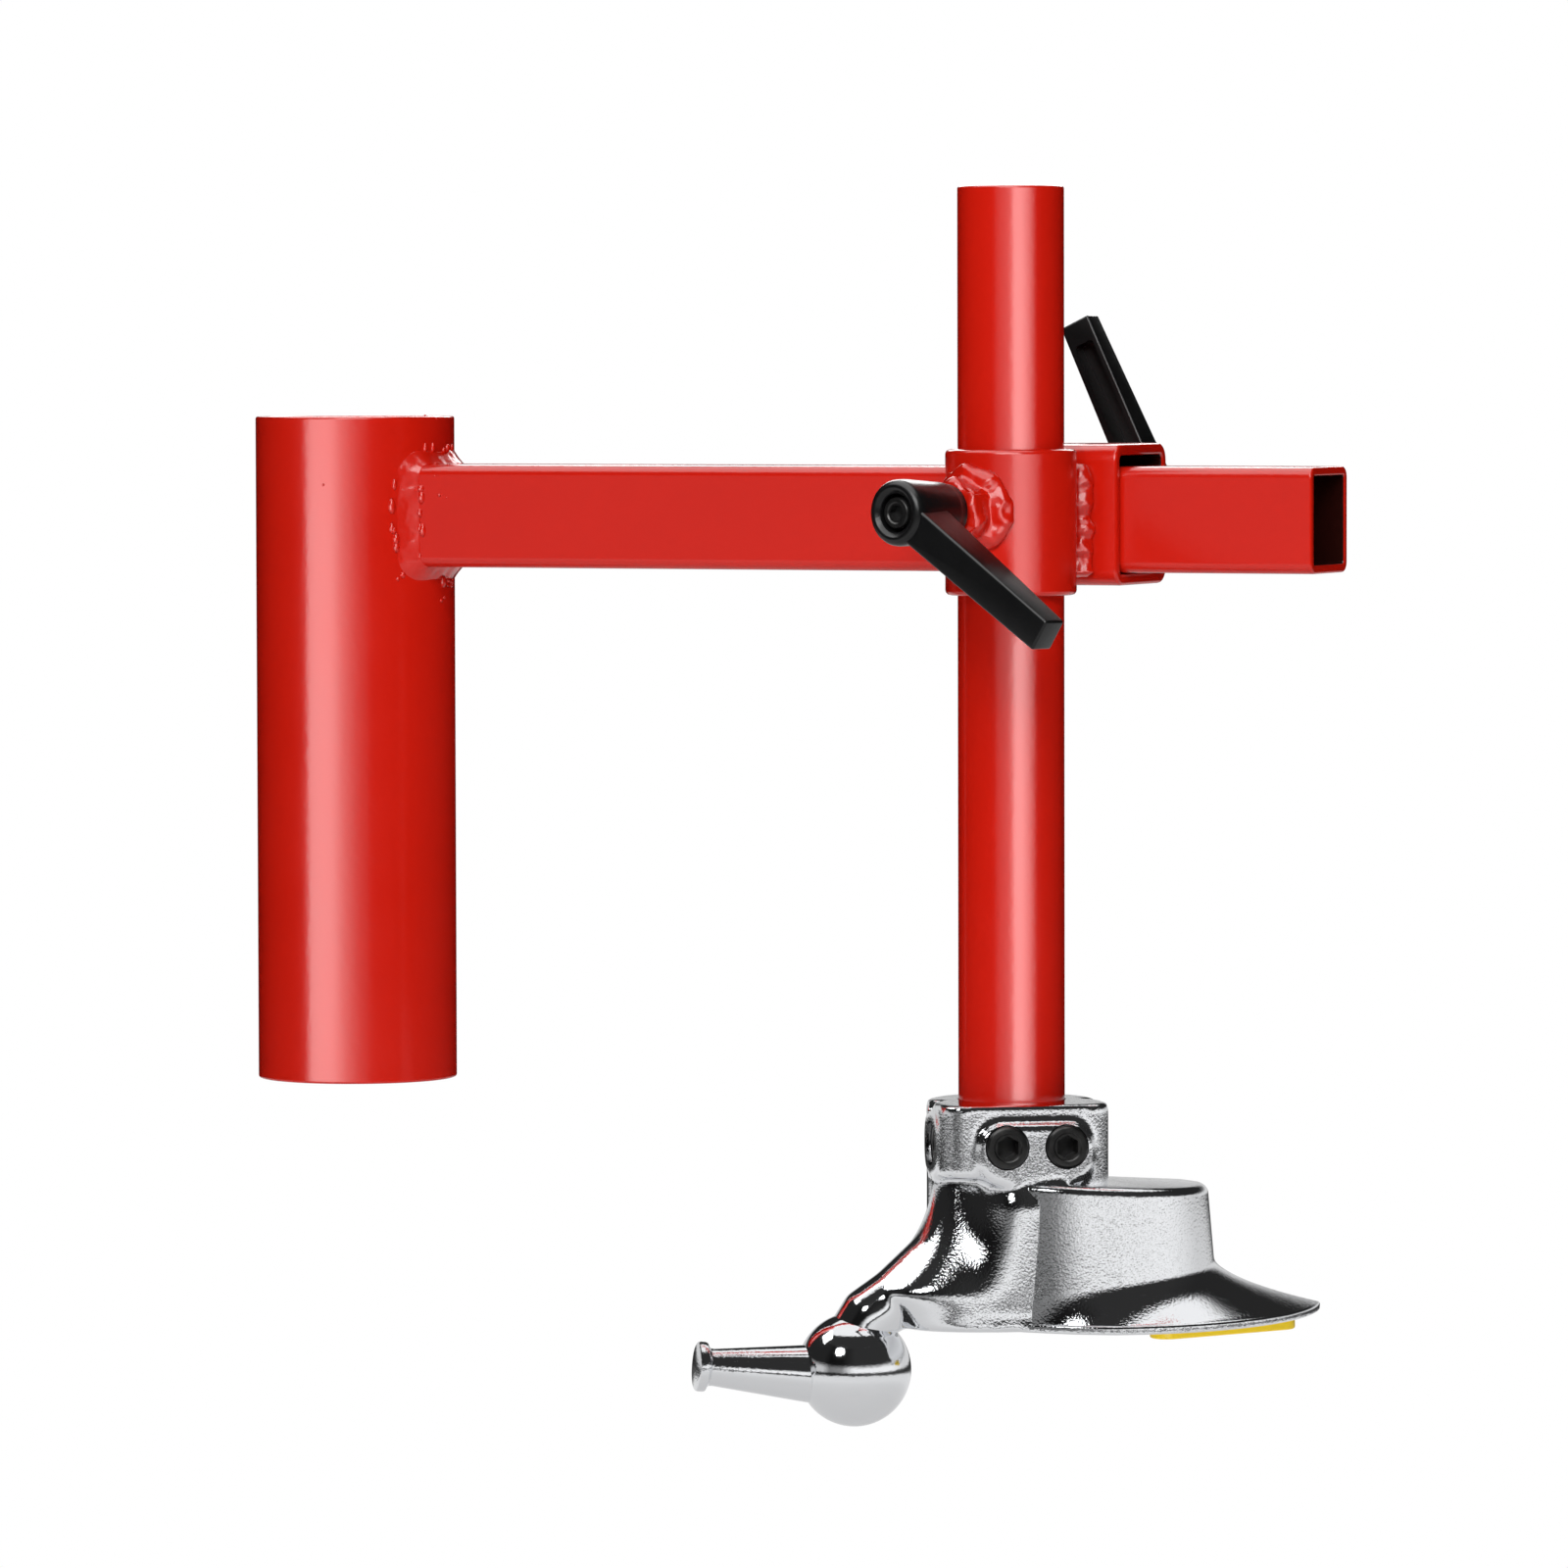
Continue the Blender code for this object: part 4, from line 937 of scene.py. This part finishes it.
def set_screw(name, place, foot, top):
    """A set screw with a cone point, a rounded rim and a hexagon socket."""
    profile = [
        (SCREW_POINT, foot),
        (SCREW_RADIUS, foot + SCREW_RADIUS - SCREW_POINT),
        *((SCREW_RADIUS - inset, top - drop) for inset, drop in SCREW_RIM),
        (SCREW_MOUTH, top),
        (SCREW_MOUTH - SCREW_MOUTH_EDGE, top - SCREW_MOUTH_EDGE),
    ]
    screw = turned(name + "_fine", profile, place, SMALL_SIDES)
    hexagon_socket(screw, place, top - SCREW_MOUTH_EDGE, SCREW_SOCKET_DEPTH, SCREW_SOCKET)
    return screw


oxide = clouded_finish(
    "black_oxide", cloud=(240.0, 4.0), shine=(0.22, 0.42), grain=(2200.0, 2.0), relief=(0.12, 0.0003),
    colours=(OXIDE_BLACK, OXIDE_WORN), Metallic=0.8, Roughness=0.3,
)
for name, place in screw_places().items():
    side_screw = name.startswith("side")
    aside = abs(place.translation.y if side_screw else place.translation.x)
    foot = math.sqrt(post_radius**2 - max(aside - SCREW_POINT, 0.0) ** 2) + SCREW_SEAT_GAP
    top = BOSS_HALF + (SIDE_PAD_RAISE - SIDE_SCREW_SINK if side_screw else PAD_RAISE + FRONT_SCREW_PROUD)
    screw = set_screw(name, head_place @ place, foot, top)
    fit(screw, oxide, "head", "black_oxide", name)


# Clamping levers
# Die-cast zinc handles, powder-coated black. The hub drops over a toothed stud, a spring in the hub holds it
# down on the teeth, and a socket screw keeps it on the stud. The bar is hollowed on its under side.
LEVER_TURNS = {"front": math.radians(-33.0), "rear": math.radians(64.0)}
HUB_PROFILE = (
    (0.0074, 0.0020), (0.0077, 0.0023), (0.0077, 0.0042), (0.0081, 0.0050),
    (0.0083, 0.0060), (0.0093, 0.0200), (0.0093, 0.0228), (0.0092, 0.0237),
    (0.0088, 0.0246), (0.0082, 0.0252), (0.0075, 0.0255), (0.0070, 0.0255),
    (0.0066, 0.0253), (0.0058, 0.0243),
)
BAR_ROOT = 0.00625
BAR_END = 0.061
BAR_ROOT_HALF = 0.0052
BAR_TIP_HALF = 0.0047
BAR_TOP = 0.0244
BAR_TIP_TOP = 0.02495
BAR_ROOT_DEPTH = 0.0125
BAR_TIP_DEPTH = 0.0082
BAR_EDGE = 0.0008
CHANNEL_HALF = 0.0029
CHANNEL_START = 0.0163
CHANNEL_END = 0.0540
CHANNEL_FLOOR = 0.0220
CHANNEL_CORNER = 0.001
CHAMBER_RADIUS = 0.0054
CHAMBER_FLOOR = 0.0126
NECK_WAY = 0.0055
NECK_WAY_TOP = 0.0108
SHANK_WAY = 0.0031
SOCKET_RADIUS = 0.0068
SOCKET_TOP = 0.0055
BORES_TOP = 0.030
LEVER_SCREW_PROFILE = (
    (0.0025, 0.0042), (0.0025, 0.0203), (0.0044, 0.0203), (0.0044, 0.0238),
    (0.0043, 0.0242), (0.0040, 0.0245), (0.0031, 0.0245), (0.0027, 0.0242),
)
LEVER_SCREW_TOP = 0.0242
LEVER_SOCKET = 0.0024
LEVER_SOCKET_DEPTH = 0.0021
SPRING_RADIUS = 0.0042
SPRING_WIRE = 0.0004
SPRING_LOW = 0.0133
SPRING_HIGH = 0.0196
SPRING_TURNS = 4
SPRING_WIRE_SIDES = 12
SPRING_STEPS = 32
COAT_BLACK = (0.0035, 0.0035, 0.0038, 1.0)
COAT_RUBBED = (0.0065, 0.0065, 0.0068, 1.0)
STEEL = (0.52, 0.52, 0.51, 1.0)


def lever_place(side):
    """A lever's frame: +Z out along its stud, +X along its bar."""
    face, outward = lever_line(side)
    up = Vector((0, 0, 1))
    turns = Matrix((up.cross(outward), up, outward)).transposed().to_4x4()
    return Matrix.Translation(face) @ turns @ Matrix.Rotation(LEVER_TURNS[side], 4, "Z")


def lever_bar():
    """The bar: a block drawn thinner towards its tip, with its edges rounded."""
    low = (BAR_ROOT, -BAR_ROOT_HALF, BAR_TOP - BAR_ROOT_DEPTH)
    bar = plain_block("bar", low, (BAR_END, BAR_ROOT_HALF, BAR_TOP))
    bpy.ops.object.mode_set(mode="EDIT")
    pick(bar, "FACE", lambda normal: normal.x > SQUARE_ON)
    middle = (BAR_END, 0.0, BAR_TOP - BAR_ROOT_DEPTH / 2)
    thinner = (1.0, BAR_TIP_HALF / BAR_ROOT_HALF, BAR_TIP_DEPTH / BAR_ROOT_DEPTH)
    bpy.ops.transform.resize(value=thinner, center_override=middle)
    raised = (BAR_TIP_TOP - BAR_TIP_DEPTH / 2) - middle[2]
    bpy.ops.transform.translate(value=(0.0, 0.0, raised))
    bpy.ops.object.mode_set(mode="OBJECT")
    apply_modifier(bar, "BEVEL", width=BAR_EDGE, segments=4)
    return bar


def lever_handle():
    """Hub and bar in one casting, with the bores for stud, spring and screw, and the hollow under the bar."""
    handle = turned("handle", HUB_PROFILE, Matrix())
    work_in(handle, lever_bar(), "UNION")
    channel_low = (CHANNEL_START, -CHANNEL_HALF, 0.0)
    channel_high = (CHANNEL_END, CHANNEL_HALF, CHANNEL_FLOOR)
    channel = solid_block("channel", channel_low, channel_high, CHANNEL_CORNER, axis=2)
    work_in(handle, channel, "DIFFERENCE")
    bores = (
        (CHAMBER_RADIUS, CHAMBER_FLOOR, BORES_TOP),
        (SHANK_WAY, 0.0, BORES_TOP),
        (NECK_WAY, 0.0, NECK_WAY_TOP),
        (SOCKET_RADIUS, 0.0, SOCKET_TOP),
    )
    for radius, low, high in bores:
        work_in(handle, rod_between("bore", Vector((0, 0, low)), Vector((0, 0, high)), radius), "DIFFERENCE")
    return handle


def coil_spring():
    """The spring: a small ring of wire drawn round and up in a screw, with its two ends closed."""
    bpy.ops.mesh.primitive_circle_add(
        vertices=SPRING_WIRE_SIDES,
        radius=SPRING_WIRE,
        location=(SPRING_RADIUS, 0.0, SPRING_LOW),
        rotation=(math.pi / 2, 0.0, 0.0),
    )
    spring = name_new("spring")
    pitch = (SPRING_HIGH - SPRING_LOW) / SPRING_TURNS
    steps = {"steps": SPRING_STEPS, "render_steps": SPRING_STEPS}
    apply_modifier(spring, "SCREW", screw_offset=pitch, iterations=SPRING_TURNS, **steps)
    bpy.ops.object.mode_set(mode="EDIT")
    bpy.ops.mesh.select_all(action="SELECT")
    bpy.ops.mesh.remove_doubles(threshold=MERGE_DISTANCE)
    bpy.ops.mesh.fill_holes(sides=0)
    bpy.ops.mesh.select_all(action="SELECT")
    bpy.ops.mesh.normals_make_consistent()
    bpy.ops.object.mode_set(mode="OBJECT")
    return spring


def copy_piece(pattern, name, place):
    """A copy of a pattern, named and moved to its place."""
    piece = own_copy(pattern, name)
    move_piece(piece, place)
    bpy.ops.object.shade_smooth_by_angle(angle=CAST_SMOOTH_UP_TO)
    return piece


black_coat = clouded_finish(
    "black_powder_coat", cloud=(70.0, 4.0), shine=(0.24, 0.36), grain=(1500.0, 2.0), relief=(0.12, 0.0003),
    colours=(COAT_BLACK, COAT_RUBBED), Roughness=0.3, Specular_IOR_Level=0.35,
)
steel = clouded_finish(
    "bright_steel", cloud=(900.0, 3.0), shine=(0.2, 0.4), grain=(900.0, 3.0), relief=(0.1, 0.0003),
    Base_Color=STEEL, Metallic=1.0, Roughness=0.28,
)
handle_pattern = lever_handle()
screw_pattern = turned("lever_screw", LEVER_SCREW_PROFILE, Matrix(), SMALL_SIDES)
hexagon_socket(screw_pattern, Matrix(), LEVER_SCREW_TOP, LEVER_SOCKET_DEPTH, LEVER_SOCKET)
spring_pattern = coil_spring()
for side in ("front", "rear"):
    handle = copy_piece(handle_pattern, side + "_handle", lever_place(side))
    fit(handle, black_coat, side + "_handle", "black_lever", side + "_lever_handle")
    lever_screw = copy_piece(screw_pattern, side + "_screw", lever_place(side))
    fit(lever_screw, oxide, side + "_stud", "black_oxide", side + "_lever_screw")
    spring = copy_piece(spring_pattern, side + "_spring", lever_place(side))
    fit(spring, steel, side + "_stud", "plain_steel", side + "_lever_spring")
    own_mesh(spring)
    show_node(side + "_lever_stud", steel)
for pattern in (handle_pattern, screw_pattern, spring_pattern):
    bpy.data.objects.remove(pattern)


# Studio
# A pale floor well below the head, a white surround, and soft lamps before and behind. A tent that only the
# chrome reflects, pale low down and dark above, and narrow strips that only the paint reflects give both the
# contrast of a studio photograph.
FLOOR_LEVEL = -0.30
FLOOR_SIZE = 8.0
FLOOR_COLOUR = (0.9, 0.9, 0.9, 1.0)
FLOOR_REACH = 2.0
# The floor's brightness in the chrome, outward from the middle: a painted shade near the object, pale further
# out and nearly dark at the far edge.
FLOOR_OUTWARD = [(0.0, 0.5), (0.15, 0.55), (0.4, 0.78), (0.75, 0.78), (0.975, 0.08), (1.0, 0.08)]
SHADOW_SHARE = 0.35
SHADOW_REACH = 0.35
SHADOW_END = 0.9
SURROUND_FILL = 0.12
WHITE = (1.0, 1.0, 1.0, 1.0)
STUDIO_CENTRE = Vector((0.15, 0.0, 0.10))
PALE = 1.0
DARK = 0.03
TENT_RADIUS = 2.3
TENT_TOP = 2.4
TENT_SIDES = 180
TENT_UPWARD = [(0.0, 0.04), (0.045, 0.08), (0.075, 1.0), (0.18, 1.0), (0.29, DARK), (1.0, DARK)]
TENT_ROUND = [
    (0.0, 0.7), (0.32, 0.6), (0.36, 0.2), (0.43, 0.26), (0.50, 1.0), (0.72, 1.0), (0.82, 0.7), (1.0, 0.7)
]
ROOF_SIDES = 96
ROOF_LIGHT_RADIUS = 1.7
ROOF_LIGHT_SETBACK = 1.05
ROOF_LIGHT_DROP = 0.02
KEY_BOX = {"turn": -5.0, "rise": 30.0, "distance": 2.0, "width": 1.4, "height": 1.0, "power": 36.0}
BACK_BOX = {"turn": 178.0, "rise": 32.0, "distance": 2.0, "width": 1.4, "height": 1.0, "power": 32.0}
LEFT_BOX = {"turn": -37.0, "rise": 38.0, "distance": 1.7, "width": 0.5, "height": 0.5, "power": 2.6}
FAR_LEFT_BOX = {"turn": -104.0, "rise": 48.0, "distance": 1.7, "width": 0.6, "height": 0.45, "power": 4.3}
TOP_BOX = {"turn": -60.0, "rise": 75.0, "distance": 1.8, "width": 2.6, "height": 2.2, "power": 60.0}
INSERT_BOX = {"turn": 0.0, "rise": -8.0, "distance": 1.5, "width": 0.4, "height": 0.4, "power": 9.0}
STRIP_DISTANCE = 0.8
STRIP_DROP = 0.07
SLEEVE_STRIP = {"turn": -19.0, "width": 1.16, "height": 0.5, "glow": 7.0}
SLEEVE_STOPS = [(0.0, 1.0), (0.42, 1.0), (0.6, 0.42), (0.8, 0.13), (1.0, 0.04)]
POST_STRIP = {"turn": 8.0, "width": 1.6, "height": 0.6, "glow": 8.5}
COLLAR_STRIP = {**POST_STRIP, "glow": 4.5}
POST_STOPS = [
    (0.0, 0.02), (0.1, 0.08), (0.38, 0.2), (0.45, 0.5), (0.47, 1.0), (0.62, 1.0), (0.8, 0.5), (0.95, 0.15),
    (1.0, 0.03),
]
ARM_CARD = {"turn": -46.0, "width": 1.0, "height": 0.4, "glow": 0.45}
EVEN_STOPS = [(0.0, 1.0), (1.0, 1.0)]


def maths(material, operation, first, second):
    """A sum with two values."""
    return add_node(material, "Math", "Value", {0: first, 1: second}, operation=operation)


def seen_rays(material):
    """1 for the rays that show the background, to the camera, in reflections and through glass, and 1 for
    those in reflections alone."""
    rays = add_node(material, "LightPath")
    glossy = rays["Is Glossy Ray"]
    sight = maths(material, "MAXIMUM", rays["Is Camera Ray"], glossy)
    return maths(material, "MAXIMUM", sight, rays["Is Transmission Ray"]), glossy


def add_ramp(material, stops, source):
    """A ramp of grey levels over a source's value, given as places from 0 to 1 with their levels."""
    colour = add_node(material, "ValToRGB", "Color", {"Fac": source})
    elements = colour.node.color_ramp.elements
    for place, level in stops[1:-1]:
        elements.new(place)
    for element, (place, level) in zip(elements, stops):
        element.position = place
        element.color = (level, level, level, 1.0)
    return colour


def floor_white():
    """White floor that keeps a faint shadow near the object and melts into the white surround."""
    material, shader, places = new_finish("floor_white", Base_Color=FLOOR_COLOUR, Roughness=0.9)
    seen, glossy = seen_rays(material)
    middle = (STUDIO_CENTRE.x, STUDIO_CENTRE.y, FLOOR_LEVEL)
    away = add_node(material, "VectorMath", "Value", {0: places, 1: middle}, operation="DISTANCE")
    outward = add_node(material, "MapRange", "Result", {"Value": away, "From Max": FLOOR_REACH})
    # In the chrome the floor takes the ramp's levels, with a painted shade near the object.
    level = {"Value": glossy, "To Min": 1.0, "To Max": add_ramp(material, FLOOR_OUTWARD, outward)}
    glow = {"Strength": add_node(material, "MapRange", "Result", level)}
    fade = {"From Min": SHADOW_REACH, "From Max": SHADOW_END, "To Min": 1.0 - SHADOW_SHARE, "To Max": 1.0}
    white = add_node(material, "MapRange", "Result", {"Value": away, **fade})
    above = {
        0: maths(material, "MULTIPLY", white, seen),
        1: shader.outputs["BSDF"],
        2: add_node(material, "Emission", "Emission", glow),
    }
    sided = {
        0: add_node(material, "NewGeometry", "Backfacing"),
        1: add_node(material, "MixShader", "Shader", above),
        2: add_node(material, "BsdfTransparent", "BSDF"),
    }
    surface = add_node(material, "MixShader", "Shader", sided)
    feed(material.node_tree.nodes["Material Output"], "Surface", surface)
    return material


def glow_card(name, strength):
    """Even light from a card, or hardly any from a dark one."""
    material = bpy.data.materials.new(name)
    material.use_nodes = True
    glow = add_node(material, "Emission", "Emission", {"Strength": strength})
    feed(material.node_tree.nodes["Material Output"], "Surface", glow)
    return material


def tent_cloth():
    """Cloth that is pale along the horizon, grey below it and dark above, and greyer at the left."""
    material = glow_card("tent_cloth", 1.0)
    parts = add_node(material, "SeparateXYZ", values={"Vector": add_node(material, "TexCoord", "Object")})
    rise = {"Value": parts["Z"], "From Min": FLOOR_LEVEL, "From Max": TENT_TOP}
    upward = add_ramp(material, TENT_UPWARD, add_node(material, "MapRange", "Result", rise))
    sideways = maths(material, "ADD", parts["X"], -STUDIO_CENTRE.x)
    forward = maths(material, "MULTIPLY", parts["Y"], -1.0)
    bearing = maths(material, "ARCTAN2", sideways, forward)
    turn = {"Value": bearing, "From Min": VIEW_TURN - math.pi, "From Max": VIEW_TURN + math.pi}
    around = add_ramp(material, TENT_ROUND, add_node(material, "MapRange", "Result", turn))
    strength = maths(material, "MULTIPLY", around, upward)
    feed(material.node_tree.nodes["Emission"], "Strength", strength)
    return material


def placed_round(target, turn, rise, distance):
    """A point round a target: degrees to the right of the camera, degrees up, and metres away."""
    bearing = VIEW_TURN + math.radians(turn)
    level = distance * math.cos(math.radians(rise))
    height = distance * math.sin(math.radians(rise))
    return target + Vector((level * math.sin(bearing), -level * math.cos(bearing), height))


def light_only(light, name, pieces):
    """Keeps a lamp's or card's light on the pieces it is meant for, as flags and barn doors do."""
    lit = bpy.data.collections.new(name)
    for piece in pieces:
        lit.objects.link(piece)
    light.light_linking.receiver_collection = lit


def reflected_card(card, material):
    """Finishes a card that is seen only in the chrome and the insert."""
    card.data.materials.append(material)
    card.visible_camera = False
    card.visible_diffuse = False
    card.visible_shadow = False
    card.visible_transmission = False
    light_only(card, card.name + "_seen_by", [head, insert])


def soft_lamp(name, target, pieces, turn, rise, distance, width, height, power):
    """A soft box: an area lamp aimed at a target, whose light falls on some pieces only."""
    data = bpy.data.lights.new(name, "AREA")
    data.shape = "RECTANGLE"
    data.size = width
    data.size_y = height
    data.energy = power
    lamp = bpy.data.objects.new(name, data)
    lamp.location = placed_round(target, turn, rise, distance)
    lamp.rotation_euler = (target - lamp.location).to_track_quat("-Z", "Y").to_euler()
    bpy.context.scene.collection.objects.link(lamp)
    light_only(lamp, name + "_on", pieces)
    return lamp


def gloss_strip(name, middle, pieces, stops, turn, width, height, glow):
    """A strip light beside a tube: it makes the long highlight in the paint and adds nothing else."""
    target = middle - Vector((0.0, 0.0, STRIP_DROP))
    power = glow * math.pi * width * height
    strip = soft_lamp(name, target, pieces, turn, 0.0, STRIP_DISTANCE, width, height, power)
    strip.visible_diffuse = False
    strip.visible_transmission = False
    strip.data.use_nodes = True
    surface = add_node(strip.data, "NewGeometry", "Parametric")
    across = add_node(strip.data, "SeparateXYZ", "X", {"Vector": surface})
    feed(strip.data.node_tree.nodes["Emission"], "Color", add_ramp(strip.data, stops, across))


bpy.ops.mesh.primitive_plane_add(size=FLOOR_SIZE, location=(STUDIO_CENTRE.x, STUDIO_CENTRE.y, FLOOR_LEVEL))
floor = name_new("floor")
floor.data.materials.append(floor_white())

world = bpy.data.worlds.new("studio")
world.use_nodes = True
bpy.context.scene.world = world
surround = world.node_tree.nodes["Background"]
surround_level = {"Value": seen_rays(world)[0], "To Min": SURROUND_FILL, "To Max": 1.0}
feed(surround, "Color", WHITE)
feed(surround, "Strength", add_node(world, "MapRange", "Result", surround_level))

bpy.ops.mesh.primitive_cylinder_add(
    vertices=TENT_SIDES,
    radius=TENT_RADIUS,
    depth=TENT_TOP - FLOOR_LEVEL,
    end_fill_type="NOTHING",
    location=(STUDIO_CENTRE.x, STUDIO_CENTRE.y, (TENT_TOP + FLOOR_LEVEL) / 2),
)
reflected_card(name_new("tent"), tent_cloth())
roof_middle = Vector((STUDIO_CENTRE.x, STUDIO_CENTRE.y, TENT_TOP))
light_middle = placed_round(roof_middle, turn=180.0, rise=0.0, distance=ROOF_LIGHT_SETBACK)
light_middle.z -= ROOF_LIGHT_DROP
cards = (("roof", TENT_RADIUS, roof_middle, DARK), ("roof_light", ROOF_LIGHT_RADIUS, light_middle, PALE))
for name, radius, middle, strength in cards:
    bpy.ops.mesh.primitive_circle_add(vertices=ROOF_SIDES, radius=radius, fill_type="NGON", location=middle)
    reflected_card(name_new(name), glow_card(name, strength))

dull_pieces = [piece for piece in bpy.data.objects if piece.type == "MESH" and piece != head]
head_middle = head_place @ (BALL_CENTRE / 2)
soft_lamp("key_box", STUDIO_CENTRE, dull_pieces, **KEY_BOX)
soft_lamp("back_box", STUDIO_CENTRE, dull_pieces, **BACK_BOX)
soft_lamp("left_box", head_middle, [head], **LEFT_BOX).data.shape = "ELLIPSE"
soft_lamp("far_left_box", head_middle, [head], **FAR_LEFT_BOX)
soft_lamp("top_box", STUDIO_CENTRE, dull_pieces, **TOP_BOX).visible_diffuse = False
soft_lamp("insert_box", head_middle, [insert], **INSERT_BOX)
gloss_strip("sleeve_strip", sleeve_axis, [sleeve, arm_bead], SLEEVE_STOPS, **SLEEVE_STRIP)
gloss_strip("post_strip", post_axis, [post], POST_STOPS, **POST_STRIP)
gloss_strip("collar_strip", post_axis, [collar, *small_beads], POST_STOPS, **COLLAR_STRIP)
arm_middle = Vector((bracket_low.x, arm_centre.y, arm_centre.z))
gloss_strip("arm_card", arm_middle, [arm, bracket], EVEN_STOPS, **ARM_CARD)

bpy.context.scene.view_settings.view_transform = "Standard"
